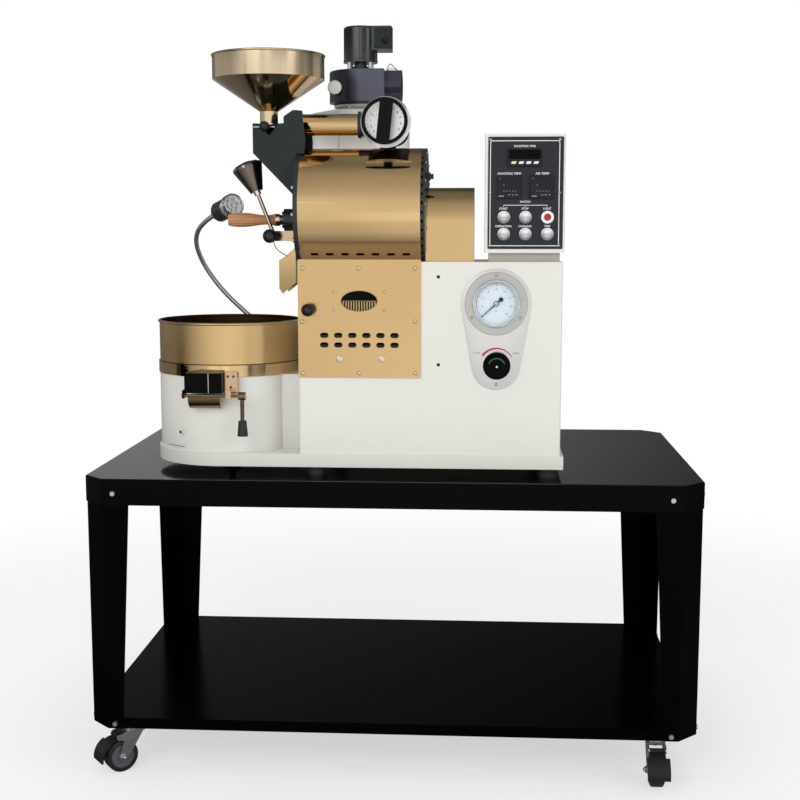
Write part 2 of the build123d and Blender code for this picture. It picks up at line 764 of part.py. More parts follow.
# Slotted ring and plate behind the cover with the shaft bearing, and the geared motor.
bearing_len = 16.0
gearbox_x = rear_x + rear_t + bearing_len + 4.0
gearbox_len = 40.0
with BuildPart() as rear_plate:
    with BuildSketch(across(cover_right)):
        with Locations((drum_y, drum_z)):
            Circle(cover_r - 0.5)
            Circle(cover_r - 4.0, mode=Mode.SUBTRACT)
        with Locations((drum_y, cab_top - cover_r)):
            Rectangle(2 * cover_r, 2 * cover_r, mode=Mode.SUBTRACT)
    extrude(amount=ring_w)
    slots = 16
    for step in range(slots):
        angle = radians(125.0 + 125.0 * step / (slots - 1))
        radial = (0, cos(angle), sin(angle))
        with BuildSketch(
            Plane(
                origin=(
                    cover_right + ring_w / 2,
                    drum_y + (cover_r - 2) * cos(angle),
                    drum_z + (cover_r - 2) * sin(angle),
                ),
                x_dir=(1, 0, 0),
                z_dir=radial,
            )
        ):
            Rectangle(ring_w - 2.0, 6.0)
        extrude(amount=5.0, both=True, mode=Mode.SUBTRACT)
    with BuildSketch(across(rear_x)):
        with Locations((drum_y, drum_z)):
            Circle(cover_r)
        with Locations((drum_y, cab_top - cover_r)):
            Rectangle(2 * cover_r, 2 * cover_r, mode=Mode.SUBTRACT)
    extrude(amount=rear_t)
    with BuildSketch(across(rear_x + rear_t)):
        with Locations((drum_y, drum_z)):
            Circle(22.0)
    extrude(amount=bearing_len)
    with BuildSketch(across(rear_x)):
        with Locations((drum_y, drum_z)):
            Circle(shaft_r + fit)
    extrude(amount=rear_t + bearing_len, mode=Mode.SUBTRACT)
    # Probe gland high on the plate, outside the drive cover.
    with BuildSketch(across(rear_x + rear_t)):
        with Locations((drum_y - 44.0, drum_z + 62.9)):
            RegularPolygon(9.0, 6)
    extrude(amount=8.0)
    with BuildSketch(across(rear_x + rear_t + 8.0)):
        with Locations((drum_y - 44.0, drum_z + 62.9)):
            Circle(5.0)
    extrude(amount=6.0)
    # Gearbox on its foot with the motor behind it.
    with BuildSketch(level(cab_top)):
        with Locations((gearbox_x + gearbox_len / 2, drum_y)):
            Rectangle(gearbox_len, 76.0)
    extrude(amount=drum_z - cab_top + 22.0)
    with BuildSketch(across(gearbox_x + gearbox_len)):
        with Locations((drum_y, drive_z - 10.0)):
            Circle(38.0)
    extrude(amount=26.0)
    with BuildSketch(across(gearbox_x)):
        with Locations((drum_y, drum_z)):
            Circle(shaft_r + fit)
    extrude(amount=26.0, mode=Mode.SUBTRACT)
rear_plate.part.label = "rear_plate"
export_step(rear_plate.part, "parts/rear_plate.step")

# Drum shell open at the face plate, with lifting vanes and a perforated end wall.
drum_left = cover_left + 13.0
drum_right = cover_right - 11.0
with BuildPart() as drum:
    with BuildSketch(across(drum_left)):
        with Locations((drum_y, drum_z)):
            Circle(drum_r)
            Circle(drum_r - drum_wall, mode=Mode.SUBTRACT)
    extrude(amount=drum_right - drum_left)
    with BuildSketch(across(drum_left)):
        with Locations((drum_y, drum_z)):
            Circle(drum_r)
            Circle(drum_r - drum_lip, mode=Mode.SUBTRACT)
    extrude(amount=drum_wall)
    with BuildSketch(across(drum_right - 4.0)):
        with Locations((drum_y, drum_z)):
            Circle(drum_r)
            with PolarLocations(50.0, 6):
                Circle(9.0, mode=Mode.SUBTRACT)
    extrude(amount=4.0)
    with BuildSketch(across(drum_left + drum_wall)):
        with Locations((drum_y, drum_z)):
            with PolarLocations(drum_r - drum_wall - 7.0, 4, 45):
                Rectangle(16.0, 2.5)
    extrude(amount=drum_right - drum_left - drum_wall)
    with BuildSketch(across(drum_right)):
        with Locations((drum_y, drum_z)):
            Circle(26.0)
    extrude(amount=6.0)
    with BuildSketch(across(drum_right)):
        with Locations((drum_y, drum_z)):
            Circle(shaft_r)
    extrude(amount=gearbox_x + 24.0 - drum_right)
drum.part.label = "drum"
export_step(drum.part, "parts/drum.step")

# Round-topped drive cover, open to the rear plate and to the cabinet.
with BuildPart() as drive_cover:
    with BuildSketch(across(rear_x + rear_t)):
        with Locations((drum_y, drive_z)):
            Circle(drive_r)
        with Locations((drum_y, (cab_top + drive_z) / 2)):
            Rectangle(2 * drive_r, drive_z - cab_top)
    extrude(amount=drive_len)
    with BuildSketch(across(rear_x + rear_t)):
        with Locations((drum_y, drive_z)):
            Circle(drive_r - hopper_t)
        with Locations((drum_y, (cab_top + drive_z) / 2)):
            Rectangle(2 * (drive_r - hopper_t), drive_z - cab_top)
    extrude(amount=drive_len - hopper_t, mode=Mode.SUBTRACT)
drive_cover.part.label = "drive_cover"
export_step(drive_cover.part, "parts/drive_cover.step")

# Feeding
# Side outline of the feed chute: open box from under the hopper down to the face plate.
chute_left = hopper_x - 23.0
chute_lip = hopper_x + 38.0
pipe_wall_z = pipe_z + 24.5
near_y, far_y = drum_y - chute_half, drum_y + chute_half
slide_z = chute_top_z - 8.0
slide_half = 21.0
with BuildPart() as feed_chute:
    with BuildSketch(facing(far_y)):
        Polygon(
            (chute_left, chute_low_z), (face_x, chute_toe_z), (face_x, pipe_wall_z),
            (face_x - 6, pipe_wall_z), (chute_lip, pipe_wall_z - 12), (chute_lip, chute_top_z),
            (chute_left, chute_top_z),
        )
    extrude(amount=far_y - near_y)
    with BuildSketch(facing(far_y - chute_t)):
        Polygon(
            (chute_left + chute_t, chute_low_z + 0.8), (face_x, chute_toe_z + 3.0),
            (face_x, port_z1), (face_x - chute_t, port_z1),
            (face_x - chute_t, pipe_wall_z - chute_t), (face_x - 5, pipe_wall_z - chute_t),
            (chute_lip + chute_t, pipe_wall_z - 13), (chute_lip + chute_t, chute_top_z - chute_t),
            (chute_left + chute_t, chute_top_z - chute_t),
        )
    extrude(amount=far_y - near_y - 2 * chute_t, mode=Mode.SUBTRACT)
    # Side cheeks run on over the cover to hold the smoke pipe.
    for y in (near_y + chute_t, far_y):
        with BuildSketch(facing(y)):
            Polygon(
                (face_x, chute_low_z - 1), (cover_left + 7, chute_low_z - 1),
                (cover_left + 9, chute_low_z + 28),
                (cover_left + 3, pipe_wall_z - 1), (face_x, pipe_wall_z),
            )
        extrude(amount=chute_t)
    # Throat for the hopper neck, V-notch and slot for the slide, port for the smoke pipe.
    with BuildSketch(level(chute_top_z - chute_t)):
        with Locations((hopper_x, drum_y)):
            Circle(neck_r + gap)
    extrude(amount=chute_t, mode=Mode.SUBTRACT)
    with BuildSketch(facing(near_y + 24.0)):
        Polygon(
            (hopper_x - 12.0, chute_top_z), (hopper_x + 9.5, chute_top_z - 23.0),
            (hopper_x + 29.0, chute_top_z),
        )
    extrude(amount=24.0, mode=Mode.SUBTRACT)
    with BuildSketch(facing(near_y + chute_t)):
        with Locations((hopper_x, slide_z + slide_t / 2)):
            Rectangle(2 * (slide_half + gap), slide_t + 2 * gap)
    extrude(amount=chute_t, mode=Mode.SUBTRACT)
    with BuildSketch(across(face_x - chute_t)):
        with Locations((drum_y, pipe_z)):
            Circle(pipe_r - pipe_t)
    extrude(amount=chute_t, mode=Mode.SUBTRACT)
    # Runners under the slide, along both long edges of the throat.
    for x0, x1 in ((chute_left + chute_t, hopper_x - slide_half + 3.0),
                   (hopper_x + slide_half - 3.0, hopper_x + slide_half + 3.0)):
        with BuildSketch(facing(far_y - chute_t)):
            with Locations(((x0 + x1) / 2, slide_z - gap - 1.0)):
                Rectangle(x1 - x0, 2.0)
        extrude(amount=far_y - near_y - 2 * chute_t)
feed_chute.part.label = "feed_chute"
export_step(feed_chute.part, "parts/feed_chute.step")

# Slide that shuts the hopper throat, drawn out by its ball.
slide_back = drum_y + neck_r + 4.0
with BuildPart() as feed_gate:
    with BuildSketch(level(slide_z)):
        with Locations((hopper_x, (near_y + slide_back) / 2 - 1.0)):
            Rectangle(2 * slide_half, slide_back - near_y + 2.0)
    extrude(amount=slide_t)
    with BuildSketch(facing(near_y)):
        with Locations((hopper_x + 3.0, slide_z + slide_t / 2)):
            Circle(3.0)
    extrude(amount=12.0)
    with Locations((hopper_x + 3.0, near_y - 19.0, slide_z + slide_t / 2)):
        Sphere(10.0)
feed_gate.part.label = "feed_gate"
export_step(feed_gate.part, "parts/feed_gate.step")

# Spun funnel with a rolled rim; its neck drops through the throat to just above the slide.
neck_z = slide_z + slide_t + 0.5
with BuildPart() as hopper:
    with BuildSketch(facing(drum_y)):
        with Locations((hopper_x, 0)):
            Polygon(
                (neck_r, neck_z), (neck_r, hopper_throat_z), (hopper_r, hopper_wall_z),
                (hopper_r, hopper_rim_z - 1), (hopper_r - hopper_t, hopper_rim_z - 1),
                (hopper_r - hopper_t, hopper_wall_z + 0.7),
                (neck_r - hopper_t, hopper_throat_z + 0.7), (neck_r - hopper_t, neck_z),
            )
            Polygon(
                (neck_r, chute_top_z), (neck_r + 8, chute_top_z),
                (neck_r + 8, chute_top_z + 3), (neck_r, chute_top_z + 3),
            )
            with Locations((hopper_r - 0.2, hopper_rim_z - 2.2)):
                Circle(2.2)
    revolve(axis=upright(hopper_x, drum_y))
hopper.part.label = "hopper"
export_step(hopper.part, "parts/hopper.step")

# Smoke path
pipe_end = damper_x - 59.0
with BuildPart() as exhaust_pipe:
    with BuildSketch(facing(drum_y)):
        with Locations((0, pipe_z)):
            Polygon(
                (face_x, pipe_r - pipe_t), (face_x, pipe_r + 7.5), (face_x + 4, pipe_r + 7.5),
                (face_x + 4, pipe_r), (pipe_end, pipe_r), (pipe_end, pipe_r - pipe_t),
            )
    revolve(axis=sideways(drum_y, pipe_z))
exhaust_pipe.part.label = "exhaust_pipe"
export_step(exhaust_pipe.part, "parts/exhaust_pipe.step")

# Rotary damper: a short barrel across the pipe's end, then a duct back to the cyclone.
duct_end = cyc_y - cyc_r + 3.0    # the joint stands just off the cyclone's wall
port_r = 19.0
with BuildPart() as damper_body:
    with BuildSketch(facing(damper_back)):
        with Locations((damper_x, pipe_z)):
            Circle(damper_r)
    extrude(amount=damper_back - damper_front)
    with BuildSketch(across(pipe_end)):
        with Locations((drum_y, pipe_z)):
            Circle(26.5)
    extrude(amount=6.0)
    with BuildSketch(across(pipe_end)):
        with Locations((drum_y, pipe_z)):
            Circle(port_r + 4.0)
    extrude(amount=damper_x - pipe_end)
    with BuildSketch(facing(duct_end)):
        with Locations((damper_x, pipe_z)):
            Circle(duct_r)
    extrude(amount=duct_end - damper_back)
    with BuildSketch(facing(duct_end)):
        with Locations((damper_x, pipe_z)):
            Circle(duct_r + 8)
    extrude(amount=4.0)
    with BuildSketch(facing(damper_front)):
        with Locations((damper_x, pipe_z)):
            Circle(dial_r)
    extrude(amount=4.0)
    # Inside of barrel, side port and duct, and the bearing for the valve's shaft.
    with BuildSketch(facing(damper_back - damper_wall)):
        with Locations((damper_x, pipe_z)):
            Circle(damper_r - damper_wall)
    extrude(amount=damper_back - damper_front - 2 * damper_wall, mode=Mode.SUBTRACT)
    with BuildSketch(across(pipe_end)):
        with Locations((drum_y, pipe_z)):
            Circle(port_r)
    extrude(amount=damper_x - pipe_end, mode=Mode.SUBTRACT)
    with BuildSketch(facing(duct_end)):
        with Locations((damper_x, pipe_z)):
            Circle(duct_r - 2)
    extrude(amount=duct_end - damper_back + damper_wall, mode=Mode.SUBTRACT)
    with BuildSketch(facing(damper_front + damper_wall)):
        with Locations((damper_x, pipe_z)):
            Circle(damper_shaft_r + fit)
    extrude(amount=damper_wall + 4.0, mode=Mode.SUBTRACT)
    # Saddle that carries the barrel on the crown of the drum cover.
    with BuildSketch(level(drum_z + cover_r)):
        with Locations((damper_x, drum_y)):
            Rectangle(30.0, 24.0)
    extrude(amount=pipe_z - damper_r - drum_z - cover_r + 3.0)
    with BuildSketch(facing(drum_y + 30.0)):
        with Locations((damper_x, pipe_z)):
            Circle(damper_r - damper_wall)
    extrude(amount=60.0, mode=Mode.SUBTRACT)
damper_body.part.label = "damper_body"
export_step(damper_body.part, "parts/damper_body.step")

# Hand ring with its bar, the shaft, and the curved shutter that it turns over the port.
ring_y = damper_front - 26.0
valve_r = damper_r - damper_wall - 0.5
with BuildPart() as damper_handle:
    with BuildSketch(facing(ring_y)) as hand_ring:
        with Locations((damper_x, pipe_z)):
            Circle(dial_r - 4.5)
            Circle(dial_r - 11.5, mode=Mode.SUBTRACT)
            Rectangle(2 * dial_r - 20, 26.0, rotation=84)
    extrude(amount=9.0)
    fillet(damper_handle.faces().sort_by(Axis.Y)[0].edges(), 1.5)
    with BuildSketch(facing(ring_y)):
        with Locations((damper_x, pipe_z)):
            Circle(9.0)
    extrude(amount=-(damper_front - 4.0 - gap - ring_y))
    with BuildSketch(facing(ring_y)):
        with Locations((damper_x, pipe_z)):
            Circle(damper_shaft_r)
    extrude(amount=-(damper_front + 14.0 - ring_y))
    with BuildSketch(facing(damper_front + 12.0)):
        with Locations((damper_x, pipe_z)):
            Circle(valve_r)
    extrude(amount=4.0)
    a0, a1 = 226.0, 314.0
    with BuildSketch(facing(damper_back - damper_wall - 4.0)):
        with BuildLine():
            CenterArc((damper_x, pipe_z), valve_r, a0, a1 - a0)
            CenterArc((damper_x, pipe_z), valve_r - 2.5, a0, a1 - a0)
            for a in (radians(a0), radians(a1)):
                Line(
                    (damper_x + valve_r * cos(a), pipe_z + valve_r * sin(a)),
                    (damper_x + (valve_r - 2.5) * cos(a), pipe_z + (valve_r - 2.5) * sin(a)),
                )
        make_face()
    extrude(amount=damper_back - damper_wall - 4.0 - (damper_front + 12.0))
damper_handle.part.label = "damper_handle"
export_step(damper_handle.part, "parts/damper_handle.step")

# Cyclone standing on its chaff drum, with the side inlet and the neck for the fan.
pot_r, pot_z, cone_z = 92.0, cab_top - 163.0, cab_top + 72.0
neck_z1 = fan_z - 4.0


def cyclone_outline(wall):
    return (
        (0, cab_z + wall), (pot_r - wall, cab_z + wall), (pot_r - wall, pot_z - wall),
        (62 - wall, pot_z + 14 - wall), (62 - wall, pot_z + 24), (cyc_r - wall, cone_z),
        (cyc_r - wall, cyc_top_z - wall), (cyc_neck_r - wall, cyc_top_z + 12 - wall),
        (cyc_neck_r - wall, neck_z1), (0, neck_z1),
    )


with BuildPart() as cyclone:
    with BuildSketch(facing(cyc_y)):
        with Locations((cyc_x, 0)):
            Polygon(*cyclone_outline(0.0))
    revolve(axis=upright(cyc_x, cyc_y))
    with BuildSketch(facing(cyc_y)):
        with Locations((damper_x, pipe_z)):
            Circle(duct_r)
    extrude(amount=cyc_y - duct_end - 4.0)
    with BuildSketch(facing(duct_end + 4.0)):
        with Locations((damper_x, pipe_z)):
            Circle(duct_r + 8)
    extrude(amount=4.0)
    with BuildSketch(facing(cyc_y)):
        with Locations((cyc_x, 0)):
            Polygon(*cyclone_outline(cyc_t))
    revolve(axis=upright(cyc_x, cyc_y), mode=Mode.SUBTRACT)
    with BuildSketch(facing(cyc_y)):
        with Locations((damper_x, pipe_z)):
            Circle(duct_r - cyc_t)
    extrude(amount=cyc_y - duct_end, mode=Mode.SUBTRACT)
    with BuildSketch(level(neck_z1 - 4.0, cyc_x, cyc_y)):
        Circle(cyc_neck_r + 10)
        Circle(cyc_neck_r - 1, mode=Mode.SUBTRACT)
    extrude(amount=4.0)
cyclone.part.label = "cyclone"
export_step(cyclone.part, "parts/cyclone.step")


def volute(z, inwards):
    """Spiral plan of the fan casing round its own axis, moved inwards by a wall."""
    s = volute_step
    r1, r2, r3 = (volute_r + k * s - inwards for k in (0, 1, 2))
    x1 = volute_r - inwards
    front = -s - r3
    with BuildSketch(level(z, cyc_x, cyc_y)) as plan:
        with BuildLine():
            CenterArc((0, 0), r1, 0, 90)
            CenterArc((0, -s), r2, 90, 90)
            CenterArc((s, -s), r3, 180, 90)
            Line((s, front), (x1, front))
            Line((x1, front), (x1, 0))
        make_face()
    return plan.sketch


spigot_y = cyc_y - 39.0
spigot_z = fan_z + fan_h / 2 + 1.0
with BuildPart() as fan_housing:
    extrude(to_extrude=volute(fan_z, 0.0), amount=fan_h)
    fillet(fan_housing.faces().sort_by(Axis.Z)[-1].edges(), 4.0)
    with BuildSketch(level(fan_z - 4.0, cyc_x, cyc_y)):
        Circle(cyc_neck_r + 10)
    extrude(amount=4.0)
    spigot_face = cyc_x + volute_r
    with BuildSketch(across(spigot_face)):
        with Locations((spigot_y, spigot_z)):
            Circle(spigot_r)
    extrude(amount=spigot_len)
    extrude(
        to_extrude=volute(fan_z + fan_t, fan_t), amount=fan_h - 2 * fan_t, mode=Mode.SUBTRACT
    )
    with BuildSketch(across(spigot_face - 2 * fan_t)):
        with Locations((spigot_y, spigot_z)):
            Circle(spigot_r - 3.5)
    extrude(amount=spigot_len + 2 * fan_t, mode=Mode.SUBTRACT)
    with BuildSketch(level(fan_z - 4.0, cyc_x, cyc_y)):
        Circle(cyc_neck_r - 14)
    extrude(amount=4.0 + fan_t, mode=Mode.SUBTRACT)
    with BuildSketch(level(motor_z - fan_t, cyc_x, cyc_y)):
        Circle(fan_shaft_r + 3)
    extrude(amount=fan_t, mode=Mode.SUBTRACT)
fan_housing.part.label = "fan_housing"
export_step(fan_housing.part, "parts/fan_housing.step")

body_z = motor_z + motor_gap
motor_top = body_z + motor_h
with BuildPart() as fan_motor:
    with BuildSketch(level(motor_z, cyc_x, cyc_y)):
        Circle(motor_r)
        Circle(fan_shaft_r + 5, mode=Mode.SUBTRACT)
    extrude(amount=3.0)
    with BuildSketch(level(motor_z, cyc_x, cyc_y)):
        with PolarLocations(motor_r - 4.5, 4, 45):
            Circle(4.0)
    extrude(amount=motor_gap)
    with BuildSketch(level(body_z, cyc_x, cyc_y)):
        Circle(motor_r)
    extrude(amount=motor_h)
    fillet(fan_motor.faces().sort_by(Axis.Z)[-1].edges(), 5.0)
    with BuildSketch(level(body_z + 25.0, cyc_x, cyc_y)):
        with Locations((42.0, 0)):
            RectangleRounded(54.0, 52.0, 4.0)
    extrude(amount=motor_h - 25.0)
    with BuildSketch(level(fan_z + 9.0, cyc_x, cyc_y)):
        Circle(fan_shaft_r)
    extrude(amount=body_z - fan_z - 9.0)
fan_motor.part.label = "fan_motor"
export_step(fan_motor.part, "parts/fan_motor.step")

# Radial impeller on the motor shaft.
with BuildPart() as fan_impeller:
    wheel_top = motor_z - fan_t - 11.0
    with BuildSketch(level(wheel_top - 3.0, cyc_x, cyc_y)):
        Circle(46.0)
    extrude(amount=3.0)
    with BuildSketch(level(wheel_top - 24.0, cyc_x, cyc_y)):
        Circle(10.0)
    extrude(amount=22.0)
    with BuildSketch(level(fan_z + 9.0, cyc_x, cyc_y)):
        with PolarLocations(35.5, 9):
            Rectangle(21.0, 2.0, rotation=30)
    extrude(amount=wheel_top - fan_z - 10.0)
    with BuildSketch(level(fan_z, cyc_x, cyc_y)):
        Circle(fan_shaft_r + fit)
    extrude(amount=fan_h, mode=Mode.SUBTRACT)
fan_impeller.part.label = "fan_impeller"
export_step(fan_impeller.part, "parts/fan_impeller.step")

# Discharge
# Gate plate in its rails, with the hook that the lever's pin lifts.
hook_y = drum_y - rail_y + rail_lip + gap
hook_t = 5.5
arm_t = 4.5
gate_x = face_x - gap
slot_half = pin_r + 1.2
with BuildPart() as discharge_gate:
    with BuildSketch(across(gate_x - gate_t)):
        with Locations((drum_y, (gate_z0 + gate_z1) / 2)):
            Rectangle(2 * gate_half, gate_z1 - gate_z0)
        with Locations((hook_y + hook_t / 2, (gate_z1 + lever_z + 8) / 2 - 2)):
            Rectangle(hook_t, lever_z + 12 - gate_z1)
    extrude(amount=gate_t)
    hook_out = lever_x + crank * cos(radians(lever_swing)) - 9.0
    with BuildSketch(facing(hook_y + hook_t)):
        with Locations(((hook_out + gate_x - gate_t) / 2, lever_z)):
            RectangleRounded(gate_x - gate_t - hook_out + 2.0, 2 * slot_half + 10.0, 2.0)
        with Locations(((hook_out + lever_x + crank + pin_r + 1) / 2 - 5, lever_z)):
            Rectangle(lever_x + crank + pin_r + 1 - hook_out + 10, 2 * slot_half, mode=Mode.SUBTRACT)
    extrude(amount=hook_t)
discharge_gate.part.label = "discharge_gate"
export_step(discharge_gate.part, "parts/discharge_gate.step")

# Lever: shaft across the ears with a ball on its near end, crank and pin, and the long
# rod with its conical knob.
arm_y = hook_y + hook_t + 1.2
tilt = radians(lever_tilt)
along = Vector(-sin(tilt), 0, cos(tilt))
hub = Vector(lever_x, arm_y + arm_t / 2, lever_z)
ball_y = near_ear_y - 34.0
with BuildPart() as discharge_lever:
    with BuildSketch(facing(far_ear_y + 5.0)):
        with Locations((lever_x, lever_z)):
            Circle(lever_shaft_r)
    extrude(amount=far_ear_y + 5.0 - ball_y)
    with Locations((lever_x, ball_y - 10.0, lever_z)):
        Sphere(ball_r + 1.0)
    with BuildSketch(facing(arm_y + arm_t)):
        with Locations((lever_x, lever_z)):
            Circle(9.0)
        with Locations((lever_x + crank, lever_z)):
            Circle(5.0)
        make_hull()
    extrude(amount=arm_t)
    with BuildSketch(facing(arm_y)):
        with Locations((lever_x + crank, lever_z)):
            Circle(pin_r)
    extrude(amount=hook_t + 1.2)
    with BuildSketch(Plane(origin=hub, z_dir=along)):
        Circle(4.0)
    extrude(amount=rod_len)
    with BuildSketch(Plane(origin=hub + along * (cone_from - collar_r), z_dir=along)):
        Circle(collar_r)
    extrude(amount=collar_r + 1.0)
    wide = cone_from + cone_len
    with BuildSketch(Plane(origin=hub + along * cone_from, x_dir=(0, 1, 0), z_dir=along)):
        Circle(cone_r0)
    with BuildSketch(Plane(origin=hub + along * wide, x_dir=(0, 1, 0), z_dir=along)):
        Circle(cone_r1)
    loft()
    for start, end in ((0.0, 0.4), (0.4, 0.75), (0.75, 1.0)):
        with BuildSketch(Plane(origin=hub + along * (wide + start * cone_dome), x_dir=(0, 1, 0), z_dir=along)):
            Circle(cone_r1 * sqrt(1 - start ** 2))
        with BuildSketch(Plane(origin=hub + along * (wide + end * cone_dome), x_dir=(0, 1, 0), z_dir=along)):
            Circle(cone_r1 * sqrt(1.06 - end ** 2))
        loft()
discharge_lever.part.label = "discharge_lever"
export_step(discharge_lever.part, "parts/discharge_lever.step")

# Spout from the gate down into the bin, folded from polished sheet.
spout_x = face_x - gate_t - 2 * gap - 2.0
spout_left = cab_left - 48.0
with BuildPart() as discharge_chute:
    with BuildSketch(facing(far_ear_y)):
        Polygon(
            (spout_x, gate_z0 + 21), (spout_x - 19, gate_z0 + 3), (spout_left, gate_z0 - 6),
            (spout_left, gate_z0 - 62), (spout_left + 7, gate_z0 - 72), (spout_x, gate_z0 - 50),
        )
    extrude(amount=far_ear_y - near_ear_y)
    with BuildSketch(facing(far_ear_y - 2.0)):
        Polygon(
            (spout_x + 1, gate_z0 + 18.2), (spout_x - 18, gate_z0 + 1), (spout_left + 2, gate_z0 - 7.5),
            (spout_left + 2, gate_z0 - 80), (spout_x - 2, gate_z0 - 80), (spout_x - 2, gate_z0 - 8),
            (spout_x + 1, gate_z0 - 2),
        )
    extrude(amount=far_ear_y - near_ear_y - 4.0, mode=Mode.SUBTRACT)
discharge_chute.part.label = "discharge_chute"
export_step(discharge_chute.part, "parts/discharge_chute.step")

# Sampler: hollowed scoop on a round bar, ferrule and turned wooden grip.
ferrule_x = trier_flange_x - 9.0
grip_x = ferrule_x - 8.0
grip_len = 96.0
scoop_x = cover_left + 88.0
with BuildPart() as sampler:
    with BuildSketch(across(ferrule_x)):
        with Locations((drum_y, trier_z)):
            Circle(trier_r)
    extrude(amount=scoop_x - ferrule_x)
    with BuildSketch(across(scoop_x - 75.0)):
        with Locations((drum_y, trier_z)):
            Circle(trier_r - 2.0)
        with Locations((drum_y, trier_z + trier_r)):
            Rectangle(2 * trier_r, 2 * trier_r + 2)
    extrude(amount=70.0, mode=Mode.SUBTRACT)
    with BuildSketch(across(grip_x)):
        with Locations((drum_y, trier_z)):
            Circle(12.0)
    extrude(amount=ferrule_x - grip_x)
    with BuildSketch(facing(drum_y)):
        with BuildLine():
            turned = (
                (grip_x - grip_len, 11.5), (grip_x - grip_len * 0.85, 13.8),
                (grip_x - grip_len * 0.55, 13.2), (grip_x - grip_len * 0.25, 9.6),
                (grip_x, 12.6),
            )
            Spline(*[(x, trier_z + r) for x, r in turned])
            Polyline(
                (grip_x, trier_z + 12.6), (grip_x, trier_z),
                (grip_x - grip_len, trier_z), (grip_x - grip_len, trier_z + 11.5),
            )
        make_face()
    revolve(axis=sideways(drum_y, trier_z))
sampler.part.label = "sampler"
export_step(sampler.part, "parts/sampler.step")

# Cooling
port_x0, port_x1 = hood_x0 + 5.0, hood_x1 - 4.5
with BuildPart() as cooling_housing:
    with BuildSketch(level(cab_z, cool_x, cool_y)):
        Circle(house_r)
        Circle(house_r - house_wall, mode=Mode.SUBTRACT)
    extrude(amount=house_h)
    # Air duct across to the cabinet.
    with BuildSketch(level(cab_z)):
        with Locations(((cool_x + cab_left) / 2, cool_y)):
            Rectangle(cab_left - cool_x, 164.0)
        with Locations((cool_x, cool_y)):
            Circle(house_r - house_wall / 2, mode=Mode.SUBTRACT)
    extrude(amount=house_h)
    # Bean port in the front and the sloping trough that leads to it.
    with BuildSketch(facing(cool_y)):
        with Locations(((port_x0 + port_x1) / 2, (hood_z0 + bin_z) / 2 - 1.0)):
            Rectangle(port_x1 - port_x0, bin_z - hood_z0 - 6.0)
    extrude(amount=2 * house_r, mode=Mode.SUBTRACT)
    trough_back = cool_y - 93.0
    wall_in = cool_y - house_r + 9.0
    with BuildSketch(across(port_x0 - 2.0)):
        Polygon(
            (wall_in, hood_z0 - 1), (trough_back, bin_z + ledge_h - 6),
            (trough_back, bin_z + ledge_h - 3), (wall_in, hood_z0 + 24),
        )
    extrude(amount=port_x1 - port_x0 + 4.0)
    with BuildSketch(across(port_x0)):
        Polygon(
            (wall_in - 1, hood_z0 + 1), (trough_back, bin_z + ledge_h - 4),
            (trough_back, bin_z + ledge_h), (wall_in - 1, hood_z0 + 60),
        )
    extrude(amount=port_x1 - port_x0, mode=Mode.SUBTRACT)
cooling_housing.part.label = "cooling_housing"
export_step(cooling_housing.part, "parts/cooling_housing.step")

# Bin: rolled lip, polished foot band and the ledge that carries the screen.
in_r = bin_r - bin_wall
with BuildPart() as cooling_bin:
    with BuildSketch(facing(cool_y)):
        with Locations((cool_x, bin_z)):
            Polygon(
                (in_r, 0), (band_r, 0), (band_r, band_h), (bin_r, band_h + 1),
                (bin_r, bin_h - 1), (in_r, bin_h - 1), (in_r, ledge_h),
                (in_r - 4, ledge_h), (in_r - 4, ledge_h - 3), (in_r, ledge_h - 3),
            )
            with Locations((bin_r + 0.2, bin_h - lip_r)):
                Circle(lip_r)
    revolve(axis=upright(cool_x, cool_y))
cooling_bin.part.label = "cooling_bin"
export_step(cooling_bin.part, "parts/cooling_bin.step")

screen_z = bin_z + ledge_h
with BuildPart() as cooling_screen:
    with BuildSketch(level(screen_z, cool_x, cool_y)):
        Circle(in_r)
        Circle(spindle_r + 3, mode=Mode.SUBTRACT)
        for ring, count in ((52.0, 12), (84.0, 18), (116.0, 24)):
            with PolarLocations(ring, count, 360.0 / count / 2):
                Rectangle(22.0, 5.0, mode=Mode.SUBTRACT)
    extrude(amount=screen_t)
cooling_screen.part.label = "cooling_screen"
export_step(cooling_screen.part, "parts/cooling_screen.step")

# Blower motor on the plinth, and the stirrer's gearmotor on a three-armed spider above it.
spider_z = bin_z - 16.0
gear_z = bin_z - 42.0
house_in = house_r - house_wall
with BuildPart() as cooling_motor:
    with BuildSketch(level(cab_z, cool_x, cool_y)):
        Circle(45.0)
    extrude(amount=48.0)
    with BuildSketch(level(cab_z + 48.0, cool_x, cool_y)):
        Circle(blower_shaft_r)
    extrude(amount=40.0)
    with BuildSketch(level(spider_z, cool_x, cool_y)):
        Circle(house_in)
        Circle(house_in - 3.0, mode=Mode.SUBTRACT)
        with PolarLocations(house_in / 2, 3, 90):
            Rectangle(house_in - 3.0, 14.0)
        with Locations((0, -house_in)):
            Rectangle(110.0, 110.0, mode=Mode.SUBTRACT)
    extrude(amount=5.0)
    with BuildSketch(level(gear_z, cool_x, cool_y)):
        Circle(38.0)
    extrude(amount=bin_z + 12.0 - gear_z)
    with BuildSketch(level(bin_z + 12.0, cool_x, cool_y)):
        Circle(spindle_r)
    extrude(amount=ledge_h + 26.0 - 12.0)
cooling_motor.part.label = "cooling_motor"
export_step(cooling_motor.part, "parts/cooling_motor.step")

